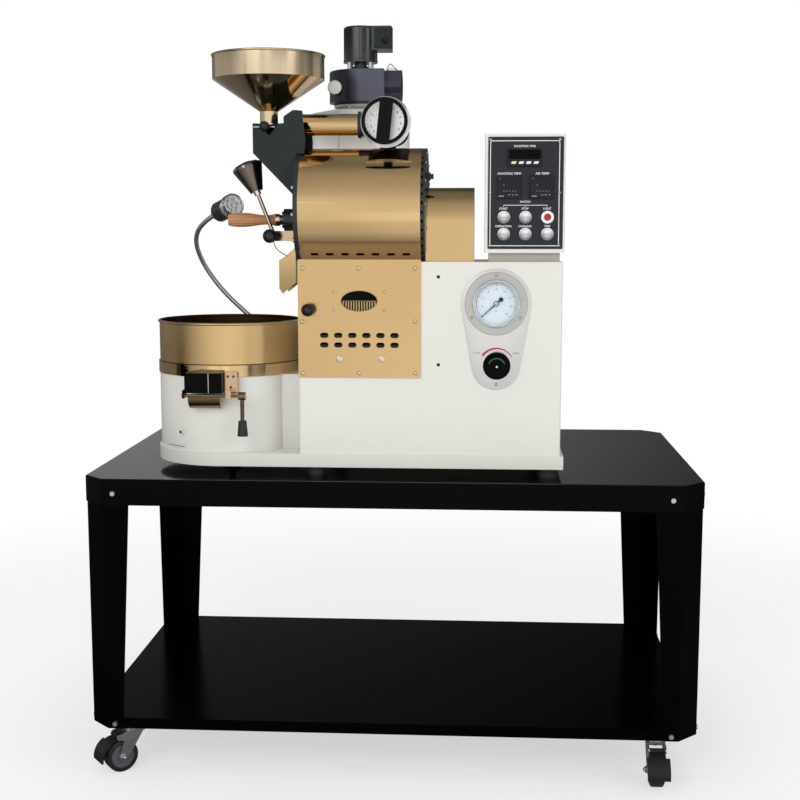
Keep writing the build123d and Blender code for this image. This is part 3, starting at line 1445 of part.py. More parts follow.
# Backward-curved blower wheel.
with BuildPart() as cooling_fan:
    fan_low = cab_z + 56.0
    with BuildSketch(level(fan_low, cool_x, cool_y)):
        Circle(92.0)
    extrude(amount=3.0)
    with BuildSketch(level(fan_low, cool_x, cool_y)):
        Circle(16.0)
    extrude(amount=26.0)
    with BuildSketch(level(fan_low, cool_x, cool_y)):
        with PolarLocations(72.0, 10):
            Rectangle(40.0, 2.0, rotation=35)
    extrude(amount=36.0)
    with BuildSketch(level(fan_low, cool_x, cool_y)):
        Circle(blower_shaft_r + fit)
    extrude(amount=36.0, mode=Mode.SUBTRACT)
cooling_fan.part.label = "cooling_fan"
export_step(cooling_fan.part, "parts/cooling_fan.step")

# Stirrer: hub on the spindle, three arms, and slanted paddles just above the screen.
paddle_z = screen_z + screen_t + 1.5
with BuildPart() as stirrer:
    with BuildSketch(level(paddle_z, cool_x, cool_y)):
        Circle(20.0)
    extrude(amount=32.0)
    with BuildSketch(level(paddle_z + 14.0, cool_x, cool_y)):
        with PolarLocations(72.0, 3, 20):
            Rectangle(126.0, 10.0)
    extrude(amount=8.0)
    with BuildSketch(level(paddle_z, cool_x, cool_y)):
        for ring, start, lean in ((50.0, 20, 40), (84.0, 20, 32), (114.0, 20, 24)):
            with PolarLocations(ring, 3, start):
                Rectangle(34.0, 3.0, rotation=lean)
    extrude(amount=16.0)
    fillet(stirrer.faces().sort_by(Axis.Z)[-1].edges(), 4.0)
    with BuildSketch(level(paddle_z, cool_x, cool_y)):
        Circle(spindle_r + fit)
    extrude(amount=screen_z + 26.0 - paddle_z + 2.0, mode=Mode.SUBTRACT)
stirrer.part.label = "stirrer"
export_step(stirrer.part, "parts/stirrer.step")

# Hood over the bean port, its left ear, and the bracket that holds the gate's rod.
bracket_x0, bracket_x1 = -325.5, -300.0
with BuildPart() as bin_hood:
    with BuildSketch(facing(hood_y + 45.0)):
        with Locations(((hood_x0 + hood_x1) / 2, (hood_z0 + hood_z1) / 2)):
            Rectangle(hood_x1 - hood_x0, hood_z1 - hood_z0)
    extrude(amount=45.0)
    with BuildSketch(facing(hood_y + 50.0)):
        with Locations(((hood_x0 + hood_x1) / 2, (hood_z0 + hood_z1) / 2 - 2.0)):
            Rectangle(hood_x1 - hood_x0 - 4.0, hood_z1 - hood_z0)
    extrude(amount=48.0, mode=Mode.SUBTRACT)
    with BuildSketch(across(hood_x0)):
        with Locations(((hood_y + rod_y - 6) / 2 + 10, rod_z + 3)):
            Rectangle(28.0, 16.0)
        with Locations((rod_y, rod_z)):
            Circle(rod_r + fit, mode=Mode.SUBTRACT)
    extrude(amount=-3.0)
    with BuildSketch(facing(hood_y + 45.0)):
        with Locations(((bracket_x0 + bracket_x1) / 2, (hood_z0 + hood_z1) / 2 - 1)):
            Rectangle(bracket_x1 - bracket_x0, hood_z1 - hood_z0 + 2)
    extrude(amount=27.0)
    with BuildSketch(across(-318.0)):
        with Locations((rod_y + 11.0, rod_z + 3.0)):
            Rectangle(34.0, 16.0)
        with Locations((rod_y, rod_z)):
            Circle(rod_r + fit, mode=Mode.SUBTRACT)
    extrude(amount=10.0)
    with BuildSketch(level(hood_z0 - 30.0, cool_x, cool_y)):
        Circle(house_r)
    extrude(amount=bin_z - hood_z0 + 30.0, mode=Mode.SUBTRACT)
    with BuildSketch(level(bin_z - gap, cool_x, cool_y)):
        Circle(band_r + gap)
    extrude(amount=band_h, mode=Mode.SUBTRACT)
bin_hood.part.label = "bin_hood"
export_step(bin_hood.part, "parts/bin_hood.step")

# Swinging flap on its rod, with the hand lever and rubber grip.
lever_hub_x = -287.0
with BuildPart() as bin_gate:
    with BuildSketch(across(hood_x0 - 2.5)):
        with Locations((rod_y, rod_z)):
            Circle(rod_r)
    extrude(amount=lever_hub_x + 7.0 - hood_x0 + 2.5)
    arc_y, arc_z = rod_y + 31.0, rod_z + 1.6
    with BuildSketch(across(port_x0 + 1.0)):
        with BuildLine():
            CenterArc((arc_y, arc_z), flap_r, 180, 82)
            CenterArc((arc_y, arc_z), flap_r - 1.5, 180, 82)
            for a in (pi, radians(262)):
                Line(
                    (arc_y + flap_r * cos(a), arc_z + flap_r * sin(a)),
                    (arc_y + (flap_r - 1.5) * cos(a), arc_z + (flap_r - 1.5) * sin(a)),
                )
        make_face()
    extrude(amount=port_x1 - port_x0 - 2.0)
    with BuildSketch(across(lever_hub_x - 7.0)):
        with Locations((rod_y, rod_z)):
            Circle(8.0)
    extrude(amount=14.0)
    with BuildSketch(level(rod_z - 50.0, lever_hub_x, rod_y)):
        Circle(4.0)
    extrude(amount=44.0)
    with BuildSketch(level(rod_z - 78.0, lever_hub_x, rod_y)):
        Circle(10.5)
    extrude(amount=30.0, taper=5)
bin_gate.part.label = "bin_gate"
export_step(bin_gate.part, "parts/bin_gate.step")

# Lamp
# Stiff gooseneck from a socket on the cabinet's side, up past the bin to the lamp head.
neck_points = (
    (cab_left - 14, -27, bin_z + 29), (cab_left - 46, -12, bin_z + 34), (-262, 14, bin_z + 49),
    (-300, 24, bin_z + 76), (-341, 23, bin_z + 108), (-392, 18, bin_z + 158), (-428, 2, bin_z + 214),
    (-439, -28, bin_z + 264), (-416, -60, bin_z + 302), (-373, -82, bin_z + 323),
)


def easy_radii(points):
    """Largest even bends that the runs between the points leave room for."""
    p = [Vector(*q) for q in points]
    radii = []
    for a, b, c in zip(p, p[1:], p[2:]):
        turn = radians((b - a).get_angle(c - b))
        radii.append(0.45 * min((b - a).length, (c - b).length) / tan(turn / 2))
    return radii


head_dir = Vector(0.66, -0.70, 0.25).normalized()
head_at = Vector(*neck_points[-1])
with BuildPart() as work_lamp:
    with BuildLine() as neck_line:
        FilletPolyline(*neck_points, radius=easy_radii(neck_points))
    with BuildSketch(Plane(origin=neck_line.line @ 0, z_dir=neck_line.line % 0)):
        Circle(5.0)
    sweep(path=neck_line.line)
    with BuildSketch(across(cab_left)):
        with Locations((neck_points[0][1], neck_points[0][2])):
            Circle(10.0)
    extrude(amount=-18.0)
    for start, length, radius in ((-8, 8, 17.0), (0, 43, 21.0), (43, 17, 23.5)):
        with BuildSketch(Plane(origin=head_at + head_dir * start, z_dir=head_dir)):
            Circle(radius)
        extrude(amount=length)
    with BuildSketch(Plane(origin=head_at + head_dir * 57, z_dir=head_dir)):
        Circle(20.0)
    extrude(amount=3.0, mode=Mode.SUBTRACT)
work_lamp.part.label = "work_lamp"
export_step(work_lamp.part, "parts/work_lamp.step")

# Controls
control_holes = [(x, z) for z in button_rows for x in button_cols]
timer_x, timer_z, timer_w, timer_h = 254.7, box_z1 - 44.3, 65.0, 32.0
unit_xs, unit_z, unit_w = (225.2, 288.7), box_z1 - 98.8, 48.0
with BuildPart() as control_box:
    with BuildSketch(level(cab_top)):
        with Locations(((box_left + box_right) / 2, box_front + box_depth / 2)):
            Rectangle(box_right - box_left - 16.0, box_depth - 20.0)
    extrude(amount=box_z0 - cab_top)
    with BuildSketch(level(box_z0)) as box_plan:
        with Locations(((box_left + box_right) / 2, box_front + box_depth / 2)):
            Rectangle(box_right - box_left, box_depth)
        fillet(box_plan.vertices(), 3.0)
    extrude(amount=box_z1 - box_z0)
    with BuildSketch(level(box_z0 + shell_t)):
        with Locations(((box_left + box_right) / 2, box_front + box_depth / 2)):
            Rectangle(box_right - box_left - 2 * shell_t, box_depth - 2 * shell_t)
    extrude(amount=box_z1 - box_z0 - 2 * shell_t, mode=Mode.SUBTRACT)
    with BuildSketch(facing(box_front + shell_t)):
        with Locations(((plate_left + plate_right) / 2, (plate_z0 + plate_z1) / 2)):
            Rectangle(plate_right - plate_left - 8, plate_z1 - plate_z0 - 8)
    extrude(amount=shell_t, mode=Mode.SUBTRACT)
control_box.part.label = "control_box"
export_step(control_box.part, "parts/control_box.step")

# Panel with its timer, two temperature controllers, button collars and pilot lamp.
pilot = (button_cols[2], button_rows[0])
with BuildPart() as control_panel:
    with BuildSketch(facing(box_front)):
        with Locations(((plate_left + plate_right) / 2, (plate_z0 + plate_z1) / 2)):
            RectangleRounded(plate_right - plate_left, plate_z1 - plate_z0, 2.0)
    extrude(amount=plate_t)
    with BuildSketch(facing(plate_y)):
        with Locations((timer_x, timer_z)):
            RectangleRounded(timer_w, timer_h, 2.0)
    extrude(amount=5.0)
    with BuildSketch(facing(box_front + 55.0)):
        with Locations((timer_x, timer_z)):
            Rectangle(timer_w - 6, timer_h - 6)
        with Locations(*[(x, unit_z) for x in unit_xs]):
            Rectangle(unit_w - 3, unit_w - 3)
    extrude(amount=55.0)
    with BuildSketch(facing(plate_y)):
        with Locations(*[(x, unit_z) for x in unit_xs]):
            RectangleRounded(unit_w, unit_w, 1.5)
    extrude(amount=3.5)
    with BuildSketch(facing(box_front + 24.0)):
        with Locations(*control_holes):
            Circle(bezel_r - 1.2)
    extrude(amount=24.0)
    with BuildSketch(facing(plate_y)):
        with Locations(*control_holes):
            Circle(bezel_r)
    extrude(amount=bezel_h, taper=12)
    # Bores of the five push buttons; the pilot lamp stays solid with a domed lens.
    with BuildSketch(facing(box_front + 21.0)):
        with Locations(*[h for h in control_holes if h != pilot]):
            Circle(button_r + fit)
    extrude(amount=21.0 + plate_t + bezel_h, mode=Mode.SUBTRACT)
    with BuildSketch(facing(plate_y - bezel_h)):
        with Locations(pilot):
            Circle(button_r - 0.5)
    extrude(amount=2.0, taper=25)
control_panel.part.label = "control_panel"
export_step(control_panel.part, "parts/control_panel.step")

# Push buttons: a flat cap above a plunger with room to travel behind it.
for number, (x, z) in enumerate((h for h in control_holes if h != pilot), start=1):
    with BuildPart() as button:
        with BuildSketch(facing(box_front + 21.0 - button_travel - gap)):
            with Locations((x, z)):
                Circle(button_r)
        extrude(amount=21.0 - button_travel - gap + plate_t + bezel_h + button_travel + 0.5)
        chamfer(button.faces().sort_by(Axis.Y)[0].edges(), 0.8)
    button.part.label = f"button_{number}"
    export_step(button.part, f"parts/button_{number}.step")

# Pressure gauge on its pear-shaped plate, which also takes the heat knob.
plate_face = cab_front - 1.5
bezel_front = plate_face - 2.0 - dial_depth - 4.0
dial_face = bezel_front + 2.0 + dial_depth
with BuildPart() as pressure_gauge:
    with BuildSketch(facing(cab_front)):
        with Locations((gauge_x, gauge_z)):
            Circle(gauge_plate_r)
        with Locations((knob_x, knob_z)):
            Circle(knob_end_r)
        make_hull()
        with Locations((gauge_x, gauge_z)):
            Circle(gauge_bezel_r - 3, mode=Mode.SUBTRACT)
        with Locations((knob_x, knob_z)):
            Circle(knob_shaft_r + 0.5, mode=Mode.SUBTRACT)
    extrude(amount=1.5)
    with BuildSketch(across(gauge_x)):
        with Locations((0, gauge_z)):
            Polygon(
                (cab_front + 38, 0), (cab_front + 38, 20), (cab_front + 30, gauge_bezel_r - 3),
                (plate_face, gauge_bezel_r - 3), (plate_face, gauge_flange_r),
                (plate_face - 2, gauge_flange_r), (plate_face - 2, gauge_bezel_r),
                (bezel_front + 2, gauge_bezel_r), (bezel_front, gauge_bezel_r - 2),
                (bezel_front, gauge_glass_r), (dial_face, gauge_glass_r), (dial_face, 0),
            )
    revolve(axis=depthwise(gauge_x, gauge_z))
    # Spindle that the needle turns on, and the glass in its groove.
    with BuildSketch(facing(dial_face)):
        with Locations((gauge_x, gauge_z)):
            Circle(spindle_pin_r)
    extrude(amount=6.5)
    with BuildSketch(facing(bezel_front + 4.0)):
        with Locations((gauge_x, gauge_z)):
            Circle(gauge_glass_r)
    extrude(amount=2.0)
    # Potentiometer behind the plate with the shaft of the knob.
    with BuildSketch(facing(cab_front + 22.0)):
        with Locations((knob_x, knob_z)):
            Circle(7.0)
    extrude(amount=22.0)
    with BuildSketch(facing(cab_front)):
        with Locations((knob_x, knob_z)):
            Circle(knob_shaft_r)
    extrude(amount=16.0)
pressure_gauge.part.label = "pressure_gauge"
export_step(pressure_gauge.part, "parts/pressure_gauge.step")

# Needle pointing low on the left, with its round counterweight.
needle_y = dial_face - 3.0
needle_a = 222.0
with BuildPart() as gauge_needle:
    with BuildSketch(facing(needle_y)):
        with Locations((gauge_x, gauge_z)):
            Circle(5.0)
            Polygon((-12, -1.4), (38, -0.5), (38, 0.5), (-12, 1.4), rotation=needle_a)
            with PolarLocations(12.0, 1, needle_a + 180):
                Circle(4.2)
            Circle(spindle_pin_r + fit, mode=Mode.SUBTRACT)
    extrude(amount=1.2)
gauge_needle.part.label = "gauge_needle"
export_step(gauge_needle.part, "parts/gauge_needle.step")

# Fluted heat knob on its skirt, with a flat centre cap.
with BuildPart() as heat_knob:
    with BuildSketch(facing(plate_face - gap)):
        with Locations((knob_x, knob_z)):
            Circle(knob_r)
    extrude(amount=4.0)
    with BuildSketch(facing(plate_face - gap - 4.0)):
        with Locations((knob_x, knob_z)):
            Circle(knob_r - 4.5)
            with PolarLocations(knob_r - 1.5, 12):
                Circle(4.5, mode=Mode.SUBTRACT)
    extrude(amount=15.0, taper=4)
    with BuildSketch(facing(plate_face - gap - 19.0)):
        with Locations((knob_x, knob_z)):
            Circle(7.0)
    extrude(amount=0.8)
    with BuildSketch(facing(plate_face)):
        with Locations((knob_x, knob_z)):
            Circle(knob_shaft_r + fit)
    extrude(amount=15.0, mode=Mode.SUBTRACT)
heat_knob.part.label = "heat_knob"
export_step(heat_knob.part, "parts/heat_knob.step")
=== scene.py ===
# %% [markdown]
# # An electric drum coffee roaster on its cart
#
# The imported model already gives every part its shape, place and motion. This script dresses
# it: it sets up the camera that saw the machine, lights it as a product is lit, mixes one
# finish for each real material, and adds the small things that a machine shop fits last.

# %% Load the fixed frame and keep its parts
from math import asin, cos, degrees, pi, radians, sin, sqrt, tau

import bmesh
import bpy
from mathutils import Euler, Matrix, Vector

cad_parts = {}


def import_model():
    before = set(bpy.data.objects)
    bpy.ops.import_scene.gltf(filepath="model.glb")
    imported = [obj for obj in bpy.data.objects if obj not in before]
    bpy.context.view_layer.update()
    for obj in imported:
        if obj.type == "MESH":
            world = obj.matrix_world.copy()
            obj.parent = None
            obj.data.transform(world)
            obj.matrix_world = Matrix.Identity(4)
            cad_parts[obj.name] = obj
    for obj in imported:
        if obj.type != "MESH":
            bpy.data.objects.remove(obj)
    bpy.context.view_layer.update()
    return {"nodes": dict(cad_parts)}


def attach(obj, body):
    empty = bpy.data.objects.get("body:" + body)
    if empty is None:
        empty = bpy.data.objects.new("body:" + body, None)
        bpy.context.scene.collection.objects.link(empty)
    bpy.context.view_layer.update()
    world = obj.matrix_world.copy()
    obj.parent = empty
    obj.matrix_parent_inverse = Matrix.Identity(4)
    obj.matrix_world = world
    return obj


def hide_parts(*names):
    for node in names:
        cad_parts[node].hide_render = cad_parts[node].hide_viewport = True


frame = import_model()
nodes = frame["nodes"]
mm = 0.001

# %% [markdown]
# ## Camera
# The lens was found from the cart: the depth of its top and shelf fixes how far away the
# camera stood, and the slope of its edges fixes how far it looked down. A 58.5 mm lens on a
# 36 mm sensor from 2.8 m away keeps the same slight perspective.

# %% Camera
lens = bpy.data.cameras.new("camera")
lens.lens, lens.sensor_width = 58.5, 36
camera = bpy.data.objects.new("camera", lens)
camera.location = Vector((172, -2790, 1072)) * mm
camera.rotation_euler = Euler((radians(90 - 7.41), 0, radians(3.55)))
bpy.context.scene.collection.objects.link(camera)
bpy.context.scene.camera = camera
bpy.context.scene.view_settings.view_transform = "Standard"

# %% [markdown]
# ## Writing patterns as sums
# A finish is a network of nodes. Wrapping a socket in a small class lets a pattern be
# written the way it is thought of, such as `1 - scratches * 0.2`, and every sign adds the
# Math node for it. Any other node comes from `node`.


# %% A socket that can be used in sums
def sign(operation, swapped=False):
    """A sign of arithmetic between two values, which adds a Math node."""
    return lambda a, b: a.math(operation, *((b, a) if swapped else (a, b)))


class Wire:
    """One socket of a node tree."""

    def __init__(self, tree, socket=None):
        self.tree, self.socket = tree, socket

    def node(self, kind, settings=None, inputs=None, out=0):
        made = self.tree.nodes.new("ShaderNode" + kind)
        for name, value in (settings or {}).items():
            if name == "stops":
                ramp = made.color_ramp.elements
                ramp[0].position, ramp[1].position = value[0][0], value[-1][0]
                for place, _ in value[1:-1]:
                    ramp.new(place)
                for stop, (_, shade) in zip(ramp, value):
                    stop.color = (*shade, 1)
            else:
                setattr(made, name, value)
        for key, value in (inputs or {}).items():
            self.feed(value, made.inputs[key])
        return Wire(self.tree, made.outputs[out])

    def feed(self, value, target):
        """Links a wire to a socket or sets a fixed value. Colours come without their alpha."""
        if isinstance(value, Wire):
            self.tree.links.new(value.socket, target)
        else:
            target.default_value = (*value, 1) if target.type == "RGBA" else value

    def math(self, operation, *values):
        return self.node("Math", {"operation": operation}, dict(enumerate(values)))

    def vector(self, operation, *values, out=0):
        """Output 0 is a vector and output 1 a number."""
        return self.node("VectorMath", {"operation": operation}, dict(enumerate(values)), out)

    __add__ = __radd__ = sign("ADD")
    __sub__, __rsub__ = sign("SUBTRACT"), sign("SUBTRACT", swapped=True)
    __mul__ = __rmul__ = sign("MULTIPLY")
    __truediv__ = sign("DIVIDE")

    def rise(self, low, high):
        """0 below low, 1 above high, and a smooth ramp between."""
        return self.node("MapRange", {"interpolation_type": "SMOOTHSTEP"}, {0: self, 1: low, 2: high})

    def tint(self, plain, marked):
        """Colour that goes from plain to marked as this value goes from 0 to 1."""
        return self.node("Mix", {"data_type": "RGBA"}, {0: self, 6: plain, 7: marked}, out=2)


class Finish:
    """A material with one Principled shader, and the wires that reach it."""

    def __init__(self, name, colour, rough, metal=0, **fixed):
        self.material = bpy.data.materials.new(name)
        self.material.use_nodes = True
        self.wire = Wire(self.material.node_tree)
        self.shader = self.material.node_tree.nodes["Principled BSDF"]
        fixed = {"Base Color": colour, "Roughness": rough, "Metallic": metal, **fixed}
        for socket, value in fixed.items():
            self.set(socket.replace("_", " "), value)

    def set(self, socket, value):
        self.wire.feed(value, self.shader.inputs[socket])
        return self

    def place(self):
        """Where a point is on the piece, in metres."""
        return self.wire.node("TexCoord", out=3)

    def axis(self, letter):
        return self.wire.node("SeparateXYZ", None, {0: self.place()}, out="XYZ".index(letter))

    def noise(self, size, detail=2, stretch=(1, 1, 1), rough=0.5):
        """Soft noise from 0 to 1 whose blotches are about size metres across."""
        spot = self.wire.node("Mapping", None, {"Vector": self.place(), "Scale": stretch})
        inputs = {"Vector": spot, "Scale": 1 / size, "Detail": detail, "Roughness": rough}
        return self.wire.node("TexNoise", None, inputs)

    def bump(self, height, depth):
        """Lifts the surface by height times depth metres."""
        inputs = {"Strength": 1, "Distance": depth, "Height": height}
        return self.set("Normal", self.wire.node("Bump", None, inputs))

    def uneven(self, colour, clouds, faded, rough, grain, least, swing):
        """Blotches from the colour to faded times it, and roughness from least up by swing."""
        self.set("Base Color", clouds.tint(colour, tuple(c * faded for c in colour)))
        return self.set("Roughness", grain * (rough * swing) + rough * least)


# %% [markdown]
# ## Light and floor
# Metal shows the room rather than its own colour. The machine stood before one large soft
# light with a darker room around it, which is why its gold sheet is bright in the middle and
# brown at its top and edges. A tent that only reflections see gives that room: bright behind
# the camera and dim elsewhere, with lighter and darker patches that the hopper, the bin and
# the fan motor mirror as stripes. Three soft lamps and a pale sky do the plain lighting.

# %% Lamps, sky, tent and floor
def soft_lamp(name, place, target, size, watts):
    lamp = bpy.data.lights.new(name, "AREA")
    lamp.shape, lamp.size, lamp.size_y, lamp.energy = "RECTANGLE", size[0], size[1], watts
    made = bpy.data.objects.new(name, lamp)
    made.location = place
    made.rotation_euler = (Vector(target) - Vector(place)).to_track_quat("-Z", "Y").to_euler()
    made.visible_glossy = False
    bpy.context.scene.collection.objects.link(made)


soft_lamp("key", (-1.5, -3.6, 2.5), (0, 0, 0.7), (2.4, 2), 62)
soft_lamp("fill", (2.6, -2.8, 1.6), (0, 0, 0.8), (1.8, 2), 34)
soft_lamp("overhead", (0, 0.2, 3.6), (0, 0, 0), (2.4, 1.8), 34)

sky = bpy.data.worlds.new("sky")
sky.use_nodes = True
bpy.context.scene.world = sky
air = Wire(sky.node_tree)
white = (1, 1, 1)


def looked_at(wire):
    """1 for rays of the camera, of reflections and through glass, and 0 for light itself."""
    kinds = ("Is Camera Ray", "Is Glossy Ray", "Is Transmission Ray")
    direct, mirrored, through = (wire.node("LightPath", out=kind) for kind in kinds)
    return wire.math("MAXIMUM", direct, wire.math("MAXIMUM", mirrored, through))


lit = air.node("Background", None, {"Color": white, "Strength": 0.56})
shown = air.node("Background", None, {"Color": white, "Strength": 1})
both = air.node("MixShader", None, {0: looked_at(air), 1: lit, 2: shown})
air.feed(both, sky.node_tree.nodes["World Output"].inputs["Surface"])


def stage_look(name):
    """A material of the stage, its wire, and the socket that takes its shader."""
    look = bpy.data.materials.new(name)
    look.use_nodes = True
    return look, Wire(look.node_tree), look.node_tree.nodes["Material Output"].inputs["Surface"]


def object_of(name, shape, material):
    """Puts a shape into the scene as an object at the origin."""
    mesh = bpy.data.meshes.new(name)
    shape.to_mesh(mesh)
    shape.free()
    mesh.materials.append(material)
    made = bpy.data.objects.new(name, mesh)
    bpy.context.scene.collection.objects.link(made)
    return made


def stage_piece(name, shape, look):
    made = object_of(name, shape, look)
    return made


def band(value, low, high, soft):
    """1 between two bounds, with soft edges."""
    return value.rise(low - soft, low + soft) * (1 - value.rise(high - soft, high + soft))


def patches(turn, rows):
    """Adds up bands, each with two turns in degrees, the softness of its edges and its gain."""
    return sum(band(turn, low, high, soft) * gain for low, high, soft, gain in rows)


# Heights on the tent and their softness, and the patches that lie between them
wall_patches = {
    (0.05, 0.5, 0.03): ((-128, -10, 6, 0.26), (45, 62, 5, 0.1), (112, 140, 6, 0.26)),
    (0.24, 0.283, 0.004): ((33, 56, 3, 0.1), (-43, -36, 2, -0.25), (63, 84, 4, -0.22)),
    (0.287, 0.34, 0.004): ((-44, -10, 4, 0.7), (2, 9, 2, 0.4), (49, 64, 3, 0.5),
                           (-150, -52, 6, -0.35), (14, 44, 5, -0.65), (70, 140, 6, -0.35)),
    (0.52, 0.66, 0.03): ((-46, -28, 3, 3.2),)}
low_patches = ((-6, 6, 3, 0.16), (-84, -70, 4, -0.16), (28, 42, 4, -0.22), (92, 118, 6, -0.2))
floor_patches = ((-26, -12, 3, 0.25), (90, 122, 4, 0.3), (34, 84, 3, -0.62), (3, 30, 3, -0.12),
                 (-72, -60, 3, -0.3))
main_light = (0.3, -0.954, 0.03)


def room(wire):
    """How bright the room is in each direction, and the turn of that direction in degrees."""
    towards = wire.vector("NORMALIZE", wire.node("TexCoord", out=3))
    across, depth, height = [wire.node("SeparateXYZ", None, {0: towards}, out=i) for i in range(3)]
    turn = wire.math("ARCTAN2", across, depth * -1) * degrees(1)
    facing = wire.math("MAXIMUM", wire.vector("DOT_PRODUCT", towards, main_light, out=1), 0)
    bright = wire.math("POWER", facing, 1.2) * 0.86 + 0.17
    bright += height.rise(0.7, 1) * 0.1 - band(height, 0.45, 0.95, 0.2) * 0.1
    bright += (1 - height.rise(0, 0.09)) * patches(turn, low_patches)
    for level, rows in wall_patches.items():
        bright += band(height, *level) * patches(turn, rows)
    behind = turn.math("ABSOLUTE", turn).rise(146, 163)
    return wire.math("MAXIMUM", bright - behind * across * 0.45, 0.03), turn


tent_look, wire, surface = stage_look("tent")
wire.feed(wire.node("Emission", None, {"Color": white, "Strength": room(wire)[0]}), surface)
dome = bmesh.new()
bmesh.ops.create_uvsphere(dome, u_segments=48, v_segments=24, radius=9)
bmesh.ops.reverse_faces(dome, faces=dome.faces)
tent = stage_piece("tent", dome, tent_look)
tent.visible_camera = tent.visible_diffuse = tent.visible_shadow = tent.visible_transmission = False

floor_look, wire, surface = stage_look("floor")
far_out = wire.vector("LENGTH", wire.node("TexCoord", out=3), out=1)
seen = wire.node("LightPath", out="Is Camera Ray")
shine, turn = room(wire)
shine += far_out.rise(6.7, 7) * patches(turn, floor_patches)
# Painted shade: in reflections the floor is dimmer close to the machine, in place of its shadow.
mirrored = (far_out.rise(0.3, 1.6) * 0.59 + far_out.rise(1.5, 4) * 0.28 + 0.15) * shine
paper = wire.node("BsdfDiffuse", None, {"Color": (0.86, 0.86, 0.86)})
glow = wire.node("Emission", None, {"Color": white, "Strength": seen + (1 - seen) * mirrored})
share = looked_at(wire) * (1 - seen * (1 - far_out.rise(1, 2.6)) * 0.4)
wire.feed(wire.node("MixShader", None, {0: share, 1: paper, 2: glow}), surface)
ground = bmesh.new()
bmesh.ops.create_circle(ground, cap_ends=True, segments=64, radius=8.5)
stage_piece("floor", ground, floor_look)
print("lamps, sky, tent and floor are up")

# %% [markdown]
# ## Finishes
# There are four families: painted sheet (cream, charcoal and black), gold plated steel that
# is either mirror bright or satin, bare steel with its brushing, and moulded plastic and
# rubber. Paint gets a faint orange peel, metal gets streaks in its roughness, and plastic a
# fine grain, each at the size it has on the machine.


# %% Painted sheet
def painted(name, colour, rough, peel, depth, **fixed):
    """Paint with orange peel of the given size, and a little unevenness in its gloss."""
    made = Finish(name, colour, rough, **fixed)
    made.uneven(colour, made.noise(0.25, 2), 0.93, rough, made.noise(0.09, 3), 0.75, 0.5)
    return made.bump(made.noise(peel, 2), depth)


cream_coat, jet, enamel = (0.72, 0.715, 0.665), (0.001, 0.0011, 0.0013), (0.014, 0.015, 0.018)
cream = painted("cream_powder_coat", cream_coat, 0.34, 0.0022, 0.00006,
                Coat_Weight=0.15, Coat_Roughness=0.2)
cart_black = painted("gloss_black_powder_coat", jet, 0.2, 0.005, 0.00003, IOR=1.08)
charcoal = painted("charcoal_powder_coat", (0.013, 0.019, 0.02), 0.36, 0.0016, 0.00006,
                   Specular_IOR_Level=0.25)
cast_black = painted("satin_black_enamel", enamel, 0.26, 0.003, 0.00008)
panel_grey = painted("anthracite_panel", (0.021, 0.024, 0.028), 0.42, 0.0008, 0.00003,
                     Specular_IOR_Level=0.2)


# %% Gold, steel and chrome
def metal(name, colour, rough, streak=(1, 1, 1), grain=0.004, ripple=0, **fixed):
    """Bare or plated metal. Streak stretches its brushing, ripple bends its reflections."""
    made = Finish(name, colour, rough, 1, **fixed)
    brushed = made.noise(grain, 3, streak)
    made.uneven(colour, made.noise(0.12, 3), 0.9, rough, brushed, 0.55, 0.9)
    return made.bump(made.noise(0.11, 1), ripple) if ripple else made.bump(brushed, 0.00002)


gold, satin_gold = (0.7, 0.485, 0.235), (0.69, 0.47, 0.225)
gold_mirror = metal("gold_mirror", gold, 0.075, ripple=0.0006)
gold_satin = metal("gold_satin", satin_gold, 0.2, (1, 1, 30), 0.02)
copper_gold = metal("copper_gold", (0.72, 0.42, 0.2), 0.12)
steel = metal("brushed_steel", (0.56, 0.56, 0.55), 0.3, (1, 20, 1), 0.01)
satin_plate = metal("satin_stainless", (0.8, 0.785, 0.76), 0.34, (1, 1, 40), 0.03)
zinc = metal("bright_zinc", (0.6, 0.62, 0.64), 0.32)
chrome = metal("chrome", (0.78, 0.78, 0.79), 0.06, ripple=0.0002)
bronze = metal("dark_bronze", (0.15, 0.105, 0.075), 0.12)
pale_copper = metal("pale_copper", (0.8, 0.66, 0.5), 0.16)
pale_gold = metal("pale_gold_mirror", (0.76, 0.61, 0.41), 0.1, ripple=0.0004)
drum_gold = metal("drum_gold", gold, 0.075, ripple=0.0006)
drum_gold.set("Roughness", 0.075 + (1 - drum_gold.axis("Z").rise(1.035, 1.075)) * 0.2)
chute_gold = metal("chute_gold", (0.6, 0.41, 0.195), 0.2)
# Painted shade: the chute's gold is darker towards its foot.
chute_painted_shade = chute_gold.axis("Z").rise(0.955, 1.03)
chute_gold.set("Base Color", chute_painted_shade.tint((0.36, 0.27, 0.12), (0.62, 0.43, 0.2)))


# %% Plastic, rubber and wood
def moulded(name, colour, rough, grain=0.0006, depth=0.00003, **fixed):
    made = Finish(name, colour, rough, **fixed)
    made.uneven(colour, made.noise(0.05, 3), 1.25, rough, made.noise(0.03, 3), 0.8, 0.4)
    return made.bump(made.noise(grain, 2), depth)


black_plastic = moulded("black_plastic", (0.01, 0.01, 0.011), 0.42, Specular_IOR_Level=0.25)
gloss_plastic = moulded("gloss_black_plastic", (0.003, 0.0032, 0.0035), 0.12, 0.004, 0.00001,
                        Specular_IOR_Level=0.09)
rubber = moulded("black_rubber", (0.018, 0.018, 0.019), 0.62, 0.0012, 0.00008)


def wood_grain(made):
    """Colour of turned wood whose grain runs along X."""
    grain = made.noise(0.0035, 4, (0.12, 1, 1), 0.6)
    rings = grain.node("TexWave", {"wave_type": "RINGS", "rings_direction": "X"}, {
        "Vector": made.place(), "Scale": 55, "Distortion": 3, "Detail": 2})
    browns = [(0.2, (0.36, 0.165, 0.06)), (0.5, (0.45, 0.215, 0.085)), (0.8, (0.54, 0.28, 0.12))]
    return grain.node("ValToRGB", {"stops": browns}, {0: grain * 0.65 + rings * 0.35})


print("finishes:", len(bpy.data.materials))

